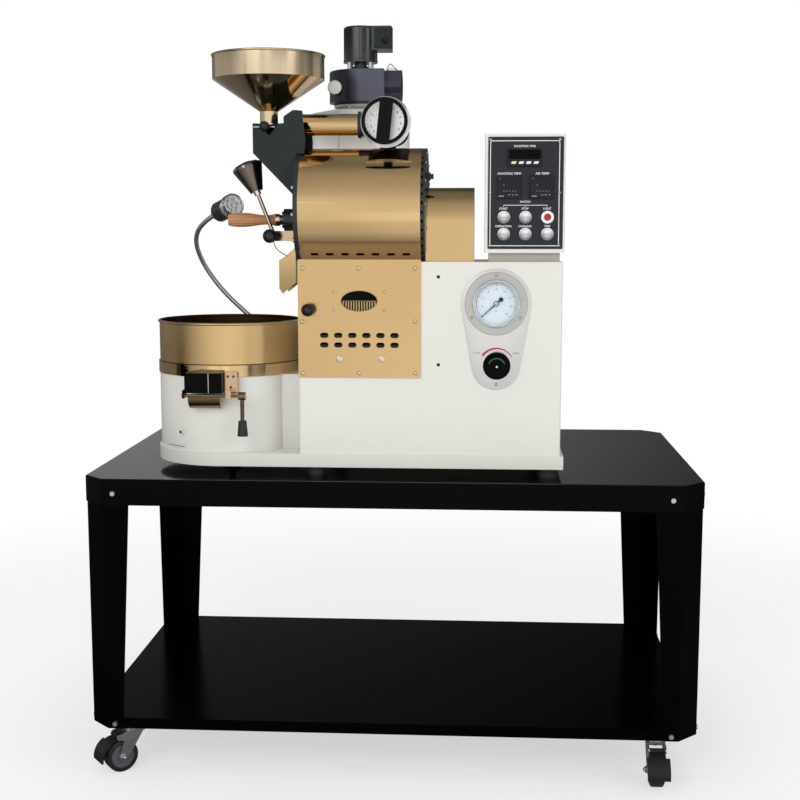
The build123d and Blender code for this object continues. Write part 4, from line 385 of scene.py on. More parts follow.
# %% [markdown]
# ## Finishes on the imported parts
# Each part of the model is handed its finish. The mesh itself is left as it came.


# %% Hand each part its finish
def dress(finish, names):
    """Gives a finish to the parts whose names are listed with spaces between them."""
    for name in names.split():
        nodes[name].data.materials.clear()
        nodes[name].data.materials.append(finish.material)


dress(cart_black, "cart_shelf cart_legs")
dress(zinc, "cart_bolts caster_plates caster_fork_fl caster_fork_fr caster_fork_rl caster_fork_rr")
dress(rubber, "rubber_feet")
dress(black_plastic, "caster_brake_fl caster_brake_fr gauge_needle control_panel")
dress(cream, "base_plinth cabinet_shell cooling_housing")
dress(gold_mirror, "drive_cover exhaust_pipe")
dress(drum_gold, "drum_cover")
dress(pale_gold, "hopper")
dress(gold_satin, "heater_panel")
dress(chute_gold, "discharge_chute")
dress(copper_gold, "discharge_gate")
dress(charcoal, "feed_chute")
dress(cast_black, "rear_plate")
dress(steel, "drum cooling_screen stirrer fan_impeller cooling_fan heating_elements cooling_motor")
dress(satin_plate, "pressure_gauge")
dress(gloss_plastic, "damper_handle")
dress(chrome, "work_lamp")

# %% [markdown]
# ## Tools for the small pieces
# Nearly everything added below is drawn in millimetres, flat on its own XY plane with Z
# pointing out of the surface, and then stood on the machine by one matrix. A turned part is
# half a section spun once round, and a plate is a block whose corners and edges are bevelled.
# Only round bars are drawn in place, along points on the machine.


# %% Matrices that stand a drawing on the machine
def stood(axes, place, turn=0):
    """Rows of axes give the world X, Y and Z. The turn is about local Z."""
    rows = [(*row, spot) for row, spot in zip(axes, place)]
    return Matrix((*rows, (0, 0, 0, 1))) @ Matrix.Rotation(radians(turn), 4, "Z")


def on_front(x, z, y, turn=0):
    """Local X is right, local Y is up and local Z comes out towards the operator."""
    return stood(((1, 0, 0), (0, 0, -1), (0, 1, 0)), (x, y, z), turn)


def on_right(x, y, z):
    """Local Z points to +X."""
    return stood(((0, 0, 1), (1, 0, 0), (0, 1, 0)), (x, y, z))


def on_left(x, y, z):
    """Local Z points to -X."""
    return stood(((0, 0, -1), (-1, 0, 0), (0, 1, 0)), (x, y, z))


def upright(x, y, z, turn=0):
    return stood(((1, 0, 0), (0, 1, 0), (0, 0, 1)), (x, y, z), turn)


def facing(place, way):
    """Local Z points along a direction."""
    return Matrix.Translation(place) @ way.to_track_quat("Z", "Y").to_matrix().to_4x4()


def shift(x, y, z):
    return Matrix.Translation((x, y, z))


def around(centre, radius, turn):
    """The point at a turn in degrees on a circle, counted from the first axis to the second."""
    return centre[0] + radius * cos(radians(turn)), centre[1] + radius * sin(radians(turn))


# %% Turned parts, plates, tubes and how they become a piece
def moved(part, at):
    bmesh.ops.transform(part, matrix=at, verts=part.verts)
    return part


def rounded(part, geom, offset, segments, affect="EDGES"):
    bmesh.ops.bevel(part, geom=geom, offset=offset, segments=segments, profile=0.5, affect=affect,
                    material=-1)


def edges_above(part, level):
    return [e for e in part.edges if min(v.co.z for v in e.verts) > level]


def turned(profile, at=Matrix(), steps=40):
    """Spins (radius, height) points once round local Z."""
    part = bmesh.new()
    line = [part.verts.new((r, 0, h)) for r, h in profile]
    edges = [part.edges.new(pair) for pair in zip(line, line[1:])]
    bmesh.ops.spin(part, geom=line + edges, cent=(0, 0, 0), axis=(0, 0, 1), angle=tau, steps=steps,
                   use_merge=True)
    bmesh.ops.remove_doubles(part, verts=part.verts, dist=0.0005)
    bmesh.ops.recalc_face_normals(part, faces=part.faces)
    return moved(part, at)


def plate(width, height, thick, at=Matrix(), corner=0, soft=0):
    """A block on local Z = 0 with rounded corners and softened edges."""
    part = bmesh.new()
    bmesh.ops.create_cube(part, size=1)
    bmesh.ops.scale(part, vec=(width, height, thick), verts=part.verts)
    bmesh.ops.translate(part, vec=(0, 0, thick / 2), verts=part.verts)
    if corner:
        tall = [e for e in part.edges if abs(e.verts[0].co.z - e.verts[1].co.z) > thick / 2]
        rounded(part, tall, corner, 6)
    if soft:
        rounded(part, edges_above(part, thick * 0.99), soft, 2)
    return moved(part, at)


def from_curve(curve):
    """The surface of a curve, which is used up."""
    holder = bpy.data.objects.new("curve", curve)
    mesh = bpy.data.meshes.new_from_object(holder)
    part = bmesh.new()
    part.from_mesh(mesh)
    bpy.data.objects.remove(holder)
    bpy.data.curves.remove(curve)
    bpy.data.meshes.remove(mesh)
    return part


def tube(points, radius):
    """A round bar along a smooth line that the points guide."""
    line = bpy.data.curves.new("line", "CURVE")
    line.dimensions, line.resolution_u, line.bevel_depth, line.use_fill_caps = "3D", 12, radius, True
    line.bevel_resolution = 1
    spline = line.splines.new("NURBS")
    spline.points.add(len(points) - 1)
    for point, spot in zip(spline.points, points):
        point.co = (*spot, 1)
    spline.order_u, spline.use_endpoint_u = 3, True
    return from_curve(line)


def words(text, size, at, thick=0.04, bold=0):
    """Printed characters, centred on their place."""
    letters = bpy.data.curves.new("letters", "FONT")
    letters.body, letters.size, letters.extrude, letters.offset = text, size, thick, bold * size
    letters.align_x, letters.align_y, letters.resolution_u = "CENTER", "CENTER", 2
    return moved(from_curve(letters), at)


def piece(name, parts, finish, body="base", replaces=(), crease=35):
    """Joins the parts, scales them to metres and lets them ride on a body."""
    shape = bmesh.new()
    for part in parts:
        carrier = bpy.data.meshes.new("carrier")
        part.to_mesh(carrier)
        part.free()
        shape.from_mesh(carrier)
        bpy.data.meshes.remove(carrier)
    bmesh.ops.scale(shape, vec=(mm, mm, mm), verts=shape.verts)
    for face in shape.faces:
        face.smooth = True
    for edge in shape.edges:
        edge.smooth = len(edge.link_faces) == 2 and edge.calc_face_angle(0) < radians(crease)
    made = object_of(name, shape, finish.material)
    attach(made, body)
    if replaces:
        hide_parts(*replaces)


def dome_screw(at, radius, rise):
    """A low domed screw head with a recess, on local Z = 0."""
    return turned([(0, rise * 0.55), (radius * 0.28, rise * 0.55), (radius * 0.3, rise),
                   (radius * 0.62, rise * 0.9), (radius * 0.9, rise * 0.5), (radius, 0.25), (radius, 0),
                   (0, 0)], at, 16)


def screws(places, y, radius, rise):
    """Domed screws on a face that looks at the operator."""
    return [dome_screw(on_front(x, z, y), radius, rise) for x, z in places]


def hex_head(at, across, thick, washer=0):
    """A hexagon head with a chamfered top, on a washer if one is given."""
    part = bmesh.new()
    corner = across / sqrt(3)
    bmesh.ops.create_cone(part, cap_ends=True, segments=6, radius1=corner, radius2=corner, depth=thick)
    bmesh.ops.translate(part, vec=(0, 0, thick / 2 + (1 if washer else 0)), verts=part.verts)
    rounded(part, edges_above(part, thick * 0.9), across * 0.06, 1)
    below = [turned([(0, 1), (washer, 1), (washer, 0), (0, 0)], at, 24)] if washer else []
    return [moved(part, at)] + below


print("tools ready")

# %% [markdown]
# ## Parts made of several materials
# A lever has a black ball, a bright rod and a bronze knob, and yet it is one part that moves
# as one. Rather than cut it up, its finish changes along it: a mask made from the distance
# along the lever is 0 on one material and 1 on the next.


# %% A finish that changes along a part
def zoned(name, first, zones, peel=0.003, depth=0.00002):
    """first is (colour, roughness, metal). zones takes the finish and its X, Y and Z, and gives
    (mask, colour, roughness, metal) for each place where it is another."""
    made = Finish(name, *first)
    colour, rough, metallic = first
    for mask, shade, gloss, shine in zones(made, *map(made.axis, "XYZ")):
        colour = mask.tint(colour, shade)
        rough = mask * gloss + (1 - mask) * rough
        metallic = mask * shine + (1 - mask) * metallic
    cloud = made.noise(0.02, 3)
    made.set("Base Color", colour).set("Roughness", rough * (cloud * 0.5 + 0.75)).set("Metallic", metallic)
    return made.bump(made.noise(peel, 2), depth)


def past(value, edge):
    """1 where value, in metres, is more than edge mm."""
    return value.rise((edge - 0.3) * mm, (edge + 0.3) * mm)


def before(value, edge):
    return 1 - past(value, edge)


def along_line(finish, start, direction):
    """Distance from start, in metres, along a direction."""
    away = finish.wire.vector("SUBTRACT", finish.place(), tuple(v * mm for v in start))
    return away.vector("DOT_PRODUCT", away, direction, out=1)


def from_axle(finish, centre, direction):
    """Distance from an axle, in metres."""
    away = finish.wire.vector("SUBTRACT", finish.place(), tuple(v * mm for v in centre))
    return away.vector("LENGTH", away.vector("CROSS_PRODUCT", away, direction), out=1)


black_ball = ((0.007, 0.007, 0.008), 0.07, 0)
old_copper = ((0.62, 0.43, 0.27), 0.14, 1)
black_enamel = (enamel, 0.26, 0)
dial_at, dial_y = (-14, 1280.5), -240
lever_hub, lean = (-240, -195.05, 1062), radians(21.3)


def lever_zones(f, x, y, z):
    along = along_line(f, lever_hub, (-sin(lean), 0, cos(lean)))
    return [(before(along, 9), (0.15, 0.15, 0.155), 0.3, 1),
            (past(along, 86.5), (0.84, 0.78, 0.68), 0.12, 1),
            (past(along, 94.6), (0.22, 0.18, 0.15), 0.17, 1), (before(y, -241), *black_ball)]


def damper_zones(f, x, y, z):
    middle = (dial_at[0], dial_y, dial_at[1])
    edge = before(y, -239.6) * past(from_axle(f, middle, (0, 1, 0)), 45.6)
    # Painted highlight: the outer edge of the rim turns grey metal on its upper left half only.
    painted_highlight_half = 1 - along_line(f, middle, (0.7, 0, -0.7)).rise(0.002, 0.02)
    return [(before(y, -235.9), (0.88, 0.865, 0.86), 0.3, 0.5),
            (edge * painted_highlight_half, (0.3, 0.3, 0.3), 0.3, 1)]


dress(zoned("lever", ((0.66, 0.54, 0.42), 0.18, 1), lever_zones), "discharge_lever")
dress(zoned("sampler", ((0.16, 0.155, 0.16), 0.22, 1), lambda f, x, y, z: [
    (before(x, -231.8), (0.74, 0.62, 0.44), 0.14, 1),
    (before(x, -240), wood_grain(f), 0.42, 0)]), "sampler")
dress(zoned("bean_slide", ((0.58, 0.58, 0.57), 0.26, 1), lambda f, x, y, z: [
    (past(y, -226), (0.05, 0.052, 0.055), 0.4, 0.5), (before(y, -238.8), *black_ball)]), "feed_gate")
# Painted shade: the shutter's plate behind the vents is near black, so the vents read as dark openings.
dress(zoned("air_shutter", (satin_gold, 0.2, 1), lambda f, x, y, z: [
    (past(y, -286.6) * before(z, 892), (0.012, 0.012, 0.012), 0.5, 0.3),
    (before(y, -293.4), *black_ball)]), "air_shutter")
dress(zoned("bin_flap", ((0.24, 0.165, 0.095), 0.2, 1), lambda f, x, y, z: [
    (past(x, -318.5) * before(z, 747.5), (0.12, 0.09, 0.07), 0.25, 1),
    (before(z, 707.6) * past(x, -310), (0.009, 0.009, 0.01), 0.3, 0)]), "bin_gate")
dress(zoned("bean_hood", ((0.0012, 0.0012, 0.0014), 0.3, 0), lambda f, x, y, z: [
    (past(x, -325.8), *old_copper)]).set("Specular IOR Level", 0.06), "bin_hood")
dress(zoned("drum_face", black_enamel, lambda f, x, y, z: [
    (before(y, -210) * before(x, -199) * before(z, 1110), *old_copper)]), "front_plate")
dress(zoned("damper", black_enamel, damper_zones), "damper_body")
# Painted shade: the foot of the box below 1030 mm, under its overhang, is a darker grey than the cream.
dress(zoned("box_cream", (cream_coat, 0.34, 0), lambda f, x, y, z: [
    (before(z, 1030.2), (0.37, 0.345, 0.3), 0.34, 0)], 0.0022, 0.00006), "control_box")
deck_black = painted("cart_deck_black", jet, 0.2, 0.005, 0.00003, IOR=1.12, Coat_Roughness=0.1)
dress(deck_black.set("Coat Weight", past(deck_black.axis("Z"), 594)), "cart_top")
# Painted light: the cyclone's cream is a lighter copy of the cabinet's, and a faint glow lifts its front
# between the pipe and the drum.
cyclone_cream = painted("cyclone_cream", (0.78, 0.77, 0.73), 0.34, 0.0022, 0.00006,
                        Coat_Weight=0.15, Emission_Strength=0.6)
cyclone_painted_glow = 1 - cyclone_cream.axis("Y").rise(0.03, 0.11)
cyclone_painted_glow = band(cyclone_cream.axis("Z"), 1.1, 1.255, 0.03) * cyclone_painted_glow
dress(cyclone_cream.set("Emission Color", cyclone_painted_glow.tint((0, 0, 0), (0.58, 0.54, 0.52))), "cyclone")

# %% [markdown]
# ## Control panel
# The real panel is one anthracite plate held by six small screws, with a thin silver line
# round it. A timer with four keys sits at the top, two square temperature controllers below
# it, and five push buttons and a red pilot lamp at the bottom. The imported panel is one
# solid, so it is stood for by pieces that each have their own finish.

# %% Plate, outline and screws
panel_y = -291
panel_mid = (255, 1143)
white_print = moulded("white_print", (0.62, 0.63, 0.64), 0.5)
holes = [(x, z) for z in (1097.8, 1066) for x in (214.4, 255.3, 296.9)]
pilot = holes[2]
panel_screws = [(x, z) for x in (188, 318.6) for z in (1044.5, 1144, 1242.8)]
piece("panel_plate", [plate(142, 210, 2, on_front(*panel_mid, panel_y + 2), 2, 0.4)], panel_grey,
      replaces=["control_panel"])


def outline_of(width, height, corner, thick, at):
    """A thin printed line round a rectangle: an inset band of a flat plate."""
    part = bmesh.new()
    bmesh.ops.create_grid(part, x_segments=1, y_segments=1, size=0.5)
    bmesh.ops.scale(part, vec=(width, height, 1), verts=part.verts)
    rounded(part, part.verts[:], corner, 6, "VERTICES")
    inner = bmesh.ops.inset_region(part, faces=part.faces[:], thickness=thick, use_boundary=True,
                                   use_even_offset=True)
    middle = [f for f in part.faces if f not in inner["faces"]]
    bmesh.ops.delete(part, geom=middle, context="FACES")
    return moved(part, at)


line_at = on_front(panel_mid[0] - 1.8, panel_mid[1] - 0.8, panel_y - 0.06)
piece("panel_outline", [outline_of(131.5, 197.8, 4.5, 1.5, line_at)], white_print)
piece("panel_screws", screws(panel_screws, panel_y, 2.7, 1.2), zinc)

# %% Timer and temperature controllers
display_glass = moulded("display_window", (0.0012, 0.0022, 0.002), 0.08, 0.004, 0.000005,
                        Specular_IOR_Level=0.06)
unit_grey = moulded("controller_face", (0.008, 0.009, 0.014), 0.35, Specular_IOR_Level=0.25)
timer_x, timer_z, mark_y = 252.7, 1209.2, panel_y - 5
bezels = [plate(64, 31.5, 5, on_front(timer_x, timer_z, panel_y), 1.6, 0.8)]
windows = [plate(60, 17.5, 0.5, on_front(timer_x, timer_z + 5.6, panel_y - 4.9), 1, 0.15)]
keys, marks, faces = [], [], []
for i in range(4):
    key = plate(8.6, 4.6, 0.8, corner=0.8, soft=0.2)
    for v in key.verts:
        v.co.x += v.co.y * 0.5
    keys.append(moved(key, on_front(timer_x - 20.6 + 14 * i, timer_z - 9.6, panel_y - 4.8)))
for x, z in ((223.6, 1154.2), (285.6, 1154.2)):
    bezels.append(plate(45.5, 43.5, 3.5, on_front(x, z, panel_y), 1.5, 0.8))
    faces.append(plate(43.5, 41.5, 1.5, on_front(x, z, panel_y - 3.5), 1.2, 0.5))
    marks.append(words("PV", 3.6, on_front(x - 16.5, z + 15.5, mark_y - 0.06)))
    marks.append(words("SV", 3.6, on_front(x - 9.5, z + 4, mark_y - 0.06)))
    dashes = [(2.6, 1.2, -9.5 + 5.6 * i, -7.5) for i in range(5)]
    dashes += [(3.6, 1.8, 0.5 + 6.8 * i, -14.5) for i in range(3)] + [(9.5, 2.4, -14.5, -17)]
    marks += [plate(w, h, 0.1, on_front(x + dx, z + dz, mark_y), 0.3) for w, h, dx, dz in dashes]
piece("controller_bezels", bezels, black_plastic)
piece("controller_faces", faces, unit_grey)
piece("controller_windows", windows, display_glass)
piece("controller_marks", marks, moulded("grey_print", (0.17, 0.175, 0.19), 0.5))
piece("timer_key", keys[:1], moulded("yellow_key", (0.6, 0.63, 0.3), 0.45))
piece("timer_keys", keys[1:], moulded("white_keys", (0.66, 0.67, 0.68), 0.45))

# %% Button collars, pilot lamp and the words on the panel
# Painted highlight and shade: each button's silver is lighter towards its top and in a fan round its own
# middle
silver = Finish("silver_painted_highlights", (0.6, 0.61, 0.61), 0.28, 0.7)
pitch_x, pitch_z = 41.25 * mm, 31.8 * mm
beside = silver.wire.math("MODULO", silver.axis("X") - 193.8 * mm, pitch_x) - 20.6 * mm
over = silver.wire.math("MODULO", silver.axis("Z") - 1050.1 * mm, pitch_z) - pitch_z / 2
upper, sideways = silver.wire.math("ABSOLUTE", over), silver.wire.math("ABSOLUTE", beside)
button_painted_light = (over * 38 + upper / (upper + sideways + 0.001) * 0.3 + 0.42).rise(0, 1)
silver.set("Base Color", button_painted_light.tint((0.16, 0.165, 0.17), (0.95, 0.96, 0.96)))
silver.bump(silver.noise(0.002), 0.00001)
dress(silver, "button_1 button_2 button_3 button_4 button_5")
collar = [(9.15, 0), (9.15, 2.7), (9.5, 3), (10.6, 3), (11.6, 2.5), (12.25, 0.6), (12.25, 0), (9.15, 0)]
piece("button_collars", [turned(collar, on_front(x, z, panel_y)) for x, z in holes if (x, z) != pilot],
      silver)
barrel = [(9.15, 0), (10.9, 0), (10.9, -22), (9.15, -22), (9.15, 0)]
piece("button_barrels", [turned(barrel, on_front(x, z, panel_y + 1.9), 32) for x, z in holes],
      black_plastic)
collar = [(6.9, 0), (6.9, 2.4), (9.4, 3), (11.4, 2.6), (12.25, 0.6), (12.25, 0), (6.9, 0)]
piece("pilot_collar", [turned(collar, on_front(*pilot, panel_y))],
      moulded("pale_collar", (0.74, 0.7, 0.69), 0.35))
lamp_red = Finish("red_lens", (0.3, 0.006, 0.012), 0.15, Coat_Weight=0.3, Emission_Strength=0.3)
lamp_red.set("Emission Color", lamp_red.noise(0.004).tint((0.4, 0.005, 0.012), (0.5, 0.01, 0.02)))
lamp_red.bump(lamp_red.noise(0.0015), 0.0001)
lens = [(0, 5), (2.5, 4.8), (5, 4), (6.4, 2.6), (6.9, 1.6), (6.9, 0), (0, 0)]
piece("pilot_lens", [turned(lens, on_front(*pilot, panel_y))], lamp_red)
printed = [
    ("ROASTING TIME", 5.5, 252.6, 1230.2), ("ROASTING TEMP", 5.8, 224.2, 1179.2),
    ("AIR TEMP", 6.2, 286, 1179.2), ("SWITCH", 5.2, 254.5, 1126.5), ("START", 5.4, 213.4, 1113.8),
    ("STOP", 5.4, 254.5, 1113.8), ("LIGHT", 5.4, 296.2, 1113.8), ("OPERATION", 5.6, 213.6, 1080.6),
    ("COOLING", 5.4, 254.5, 1080.6), ("TIME", 5.4, 296.4, 1080.8)]
print_y = panel_y - 0.04
lines = [plate(83.2, 1.1, 0.08, on_front(254.9, 1120.3, print_y))]
lines += [plate(1.1, 3, 0.08, on_front(x, 1118.9, print_y)) for x in (213.8, 254.9, 296)]
labels = [words(text, size, on_front(x, z, panel_y - 0.05), bold=0.022) for text, size, x, z in printed]
piece("panel_words", labels + lines, white_print)

# %% [markdown]
# ## Pressure gauge and heat knob
# The gauge is a flanged chrome case on a pear-shaped plate. Its dial is a pale printed disc
# with a scale from 0 to 16 over 270 degrees, seen through real glass, so the plate, flange,
# case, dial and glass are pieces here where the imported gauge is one.

# %% Gauge case, dial and glass
gauge_at, knob_at = (201.8, 934), (203.5, 814)
plate_face, dial_face = -289.5, -293.5


def pear(width_top, width_low, drop, thick, at):
    """A plate whose outline is two circles joined by their tangents."""
    part = bmesh.new()
    tilt = asin((width_top - width_low) / drop)
    arcs = ((0, width_top, -tilt, pi + tilt), (-drop, width_low, pi + tilt, tau - tilt))
    for centre, radius, start, end in arcs:
        for i in range(33):
            a = start + (end - start) * i / 32
            part.verts.new((radius * cos(a), centre + radius * sin(a), 0))
    raised = bmesh.ops.extrude_face_region(part, geom=[part.faces.new(part.verts)])
    top = [v for v in raised["geom"] if isinstance(v, bmesh.types.BMVert)]
    bmesh.ops.translate(part, vec=(0, 0, thick), verts=top)
    rounded(part, edges_above(part, thick * 0.9), 0.4, 2)
    bmesh.ops.recalc_face_normals(part, faces=part.faces)
    return moved(part, at)


piece("gauge_plate", [pear(67, 46.6, 120, 1.5, on_front(*gauge_at, -288))], satin_plate,
      replaces=["pressure_gauge"])
flange = [(46.3, 0), (60.5, 0), (60.5, 1.4), (59.8, 2), (46.3, 2), (46.3, 0)]
piece("gauge_flange", [turned(flange, on_front(gauge_at[0], gauge_at[1] - 0.6, plate_face), 96)],
      metal("satin_flange", (0.56, 0.55, 0.52), 0.32))
case = [(44, -30), (44, 0), (46.4, 2), (46.2, 15.6), (45.6, 17), (44.6, 17.8), (43, 17.6),
        (42.2, 16.8), (42, 4), (0, 4), (0, -38), (20, -38), (44, -30)]
piece("gauge_case", [turned(case, on_front(*gauge_at, plate_face), 96)], chrome)
flange_screws = [around(gauge_at, 54, turn) for turn in (90, -30, -150)]
piece("gauge_screws", screws(flange_screws, plate_face - 2, 2.8, 1.3)
      + screws([(gauge_at[0] + 1, 778)], plate_face, 3.4, 1.6), steel)
dial_paper = Finish("gauge_dial", (0.7, 0.78, 0.85), 0.55)
dial_paper.set("Base Color", dial_paper.noise(0.05).tint((0.72, 0.8, 0.87), (0.66, 0.74, 0.82)))
dial_ink = moulded("dial_ink", (0.17, 0.2, 0.26), 0.5)
disc = [(0, 0.6), (41.9, 0.6), (41.9, 0), (0, 0)]
piece("gauge_dial", [turned(disc, on_front(*gauge_at, dial_face), 96)], dial_paper)
scale = []
for tick in range(81):
    long, wide = (5, 0.9) if tick % 10 == 0 else ((3.6, 0.6) if tick % 5 == 0 else (2.2, 0.35))
    spot = on_front(*gauge_at, dial_face - 0.62, 135 - 270 * tick / 80) @ shift(0, 38.4 - long / 2, 0)
    scale.append(plate(wide, long, 0.08, spot))
for step in range(9):
    x, z = around(gauge_at, 27.5, 225 - 270 * step / 8)
    scale.append(words(str(2 * step), 6.4, on_front(x, z, dial_face - 0.66)))
scale.append(words("bar", 5, on_front(gauge_at[0], gauge_at[1] - 14, dial_face - 0.66)))
circle = [(38.1, 0), (38.1, 0.06), (38.12, 0.08), (38.58, 0.08), (38.6, 0.06), (38.6, 0), (38.1, 0)]
scale.append(turned(circle, on_front(*gauge_at, dial_face - 0.6), 48))
piece("gauge_scale", scale, dial_ink)
glass = Finish("clear_glass", (0.95, 0.97, 0.97), 0.03, Transmission_Weight=1, IOR=1.45, Alpha=0.22)
glass.set("Roughness", glass.noise(0.03) * 0.03 + 0.015)
pane = [(0, 2), (41.5, 1.8), (42.1, 1.2), (42.1, 0), (0, 0)]
piece("gauge_glass", [turned(pane, on_front(*gauge_at, -303.5), 96)], glass)
hub = [(0, 2.2), (3, 2), (4.2, 1.2), (4.2, 0), (0, 0)]
piece("needle_hub", [turned(hub, on_front(*gauge_at, -297.6), 32)], steel, body="gauge_needle")

# %% Heat knob: red arc, its two words, a painted highlight on its rim and a small cap
arc_red = moulded("red_print", (0.36, 0.018, 0.04), 0.45)


def tapered_arc(radius, start, end, thin, thick, at):
    """A printed arc that swells from thin to thick."""
    part = bmesh.new()
    edges = []
    for i in range(37):
        t = i / 36
        half = (thin + (thick - thin) * t) / 2
        ends = [around((0, 0), radius + s * half, start + (end - start) * t) for s in (-1, 1)]
        edges.append(part.edges.new([part.verts.new((x, y, 0)) for x, y in ends]))
    for pair in zip(edges, edges[1:]):
        bmesh.ops.bridge_loops(part, edges=pair)
    bmesh.ops.recalc_face_normals(part, faces=part.faces)
    return moved(part, at)


def knob_zones(f, x, y, z):
    # Painted highlight: a lighter grey band on the upper half of the knob's rim.
    ring = band(from_axle(f, (knob_at[0], -300, knob_at[1]), (0, 1, 0)), 15.2 * mm, 17 * mm, 0.5 * mm)
    upper = z.rise((knob_at[1] + 3) * mm, (knob_at[1] + 9) * mm)
    return [(ring * upper, (0.1, 0.1, 0.105), 0.2, 0)]


piece("heat_arc", [tapered_arc(33.6, 31, 145, 1.4, 4.6, on_front(*knob_at, plate_face - 0.08))], arc_red)
ends = [words(text, 5, on_front(knob_at[0] + dx, knob_at[1] + dz, plate_face - 0.1), bold=0.02)
        for text, dx, dz in (("LOW", -37.5, 24.4), ("HIGH", 36.6, 24.2))]
piece("heat_words", ends, dial_ink)
knob_finish = zoned("heat_knob", ((0.0014, 0.0015, 0.0016), 0.12, 0), knob_zones)
dress(knob_finish.set("Specular IOR Level", 0.05), "heat_knob")
cap = [(0, 1.4), (1.8, 1.2), (2.4, 0.6), (2.4, 0), (0, 0)]
piece("knob_cap", [turned(cap, on_front(*knob_at, -309.5), 32)], chrome, body="heat_knob")

# %% [markdown]
# ## Heater panel
# The gold panel is held by small domed screws at its edges and four round the sight window.
# The window is a black pane whose lower half is barred by gold slats. Two wider studs sit
# under the vents.

# %% Screws, studs, window pane
panel_front, window_at = -290, (-62, 938)
edge_screws = [(-171.6, 1000.5), (-62.9, 1000.7), (45.9, 1000.9), (-172.6, 897.8), (46.9, 898.7),
               (-172.3, 797.3), (-62.4, 798), (47, 798.8)]
window_screws = [(-111.5, 955.4), (-12.9, 955.6), (-111, 920.7), (-13, 921)]
piece("panel_dome_screws", screws(edge_screws, panel_front, 4.2, 2)
      + screws(window_screws, panel_front, 3.2, 1.6), pale_copper)
stud = [(0, 2.2), (2.2, 2.2), (2.4, 3), (5.6, 3), (6.8, 2.2), (7, 1), (7, 0), (0, 0)]
studs = [turned(stud, on_front(x, z, panel_front), 32) for x, z in ((-100.3, 825.7), (-18.2, 826.2))]
piece("panel_studs", studs, pale_copper)


def oval(half_w, half_h, profile):
    """A section spun round a circle and then drawn out to an oval in the window's place."""
    part = turned([(1 + r / half_w, h) for r, h in profile], steps=64)
    bmesh.ops.scale(part, vec=(half_w, half_h, 1), verts=part.verts)
    return moved(part, on_front(*window_at, panel_front))


half_pane = 34.9
pane = [(-half_pane, 0.8), (-0.03 * half_pane, 0.8), (0, 0.5), (0, 0), (-half_pane, 0)]
piece("window_pane", [oval(half_pane, 19.4, pane)], display_glass, replaces=["sight_window"])
window_rim = [(-1.5, 0), (-1.5, 1.6), (-1.1, 2.2), (-0.4, 2.2), (0, 1.6), (0, 0), (-1.5, 0)]
piece("window_rim", [oval(36, 20.5, window_rim)], gold_satin)
slats, slat_y = [], panel_front - 0.7
for i in range(-6, 7):
    x = i * 5.1
    low = -19 * sqrt(max(0, 1 - (x / 34.4) ** 2))
    if low < -2.5:
        at = on_front(window_at[0] + x, window_at[1] + low / 2 - 0.6, slat_y)
        slats.append(plate(2.5, -low - 0.8, 1.4, at, 0.3, 0.3))
slats.append(plate(66, 1.1, 1.6, on_front(*window_at, slat_y), 0.3, 0.3))
piece("window_slats", slats, gold_satin)
piece("latch_plate", [plate(38, 27, 0.8, on_front(-152, 921, -285.6), 0.5)], gold_satin,
      "air_shutter")

# %% Dark domes of painted shade in the cabinet's two holes, the plug of the housing, and its seam
dark_hole = moulded("dark_screws_and_hole_shade", (0.012, 0.012, 0.013), 0.4)
# Painted shade: the two small holes in the cabinet's side are drawn as dark domes.
piece("side_hole_shade_domes", screws([(90.5, 984.6), (91, 815.2)], -288, 3.4, 1), dark_hole)
bin_axis, housing_r = (-342, -143), 152.4
plug_way = Vector((*around((0, 0), 1, 239.1), 0))
plug_at = facing(Vector((*bin_axis, 676.5)) + plug_way * (housing_r - 0.3), plug_way)
piece("housing_plug", [dome_screw(plug_at, 3.2, 1)], dark_hole)
seam_line = [(*around(bin_axis, housing_r + 0.1, turn), 648.5) for turn in range(243, 224, -3)]
piece("housing_seam", [tube(seam_line, 0.6)], dark_hole)

# %% [markdown]
# ## Discharge lever, sampler and smoke damper
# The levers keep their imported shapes. What is added is what a fitter adds: the printed
# numbers of the damper, two screws under it, bolts round the drum and a stiff wire from the
# lever's bearing to the spout.

# %% Numbers of the damper, screws and bolts round the drum, and the wire
numbers = []
for i in range(5):
    for number, turn in ((i, 62 + 22 * i), (i + 5, 242 + 22 * i)):
        x, z = around(dial_at, 29, turn + 90)
        numbers.append(words(str(number), 6.6, on_front(x, z, dial_y - 0.06), 0.05, 0.02))
        numbers += [plate(0.7, 2.6, 0.06, on_front(*dial_at, dial_y - 0.02, turn + half) @ shift(0, 35.4, 0))
                    for half in (0, 11)]
piece("damper_numbers", numbers, moulded("dark_red_print", (0.15, 0.012, 0.015), 0.5))
saddle = [(dial_at[0] + dx, 1238) for dx in (-10, 10)]
piece("saddle_screws", screws(saddle, -182, 1.9, 1), copper_gold)
drum_axis = (-170, 1114.6)
bolt_ring = []
for k in range(10):
    y, z = around(drum_axis, 108, 214 - 28 * k)
    side = abs(y - drum_axis[0])
    if z > 1022 and not (side < 74 and z > 1130) and not (side < 50 and z < 1080):
        bolt_ring += hex_head(on_left(-190, y, z), 8, 3.6, 6)
for k in range(12):
    y, z = around(drum_axis, 111, 224 - 24.4 * k)
    if z > 1024:
        bolt_ring.append(dome_screw(on_right(64, y, z), 3.2, 1.8))
piece("drum_bolts", bolt_ring, zinc)
wire_line = [(-239.5, -209, 1052), (-238.5, -209, 1043), (-231, -210, 1034), (-221, -210.5, 1027),
             (-212, -211, 1022)]
piece("bearing_wire", [tube(wire_line, 0.9)], black_plastic)

# %% [markdown]
# ## Work lamp on its gooseneck
# A gooseneck is a steel hose of pressed turns that keeps the bend it is given. A straight
# ribbed tube is spun first, and then every ring of it is set along a smooth line. The head
# is four turned parts: a chrome cap, a black barrel, a chrome bezel and a flat clear lens in
# front of a board with seven diodes.


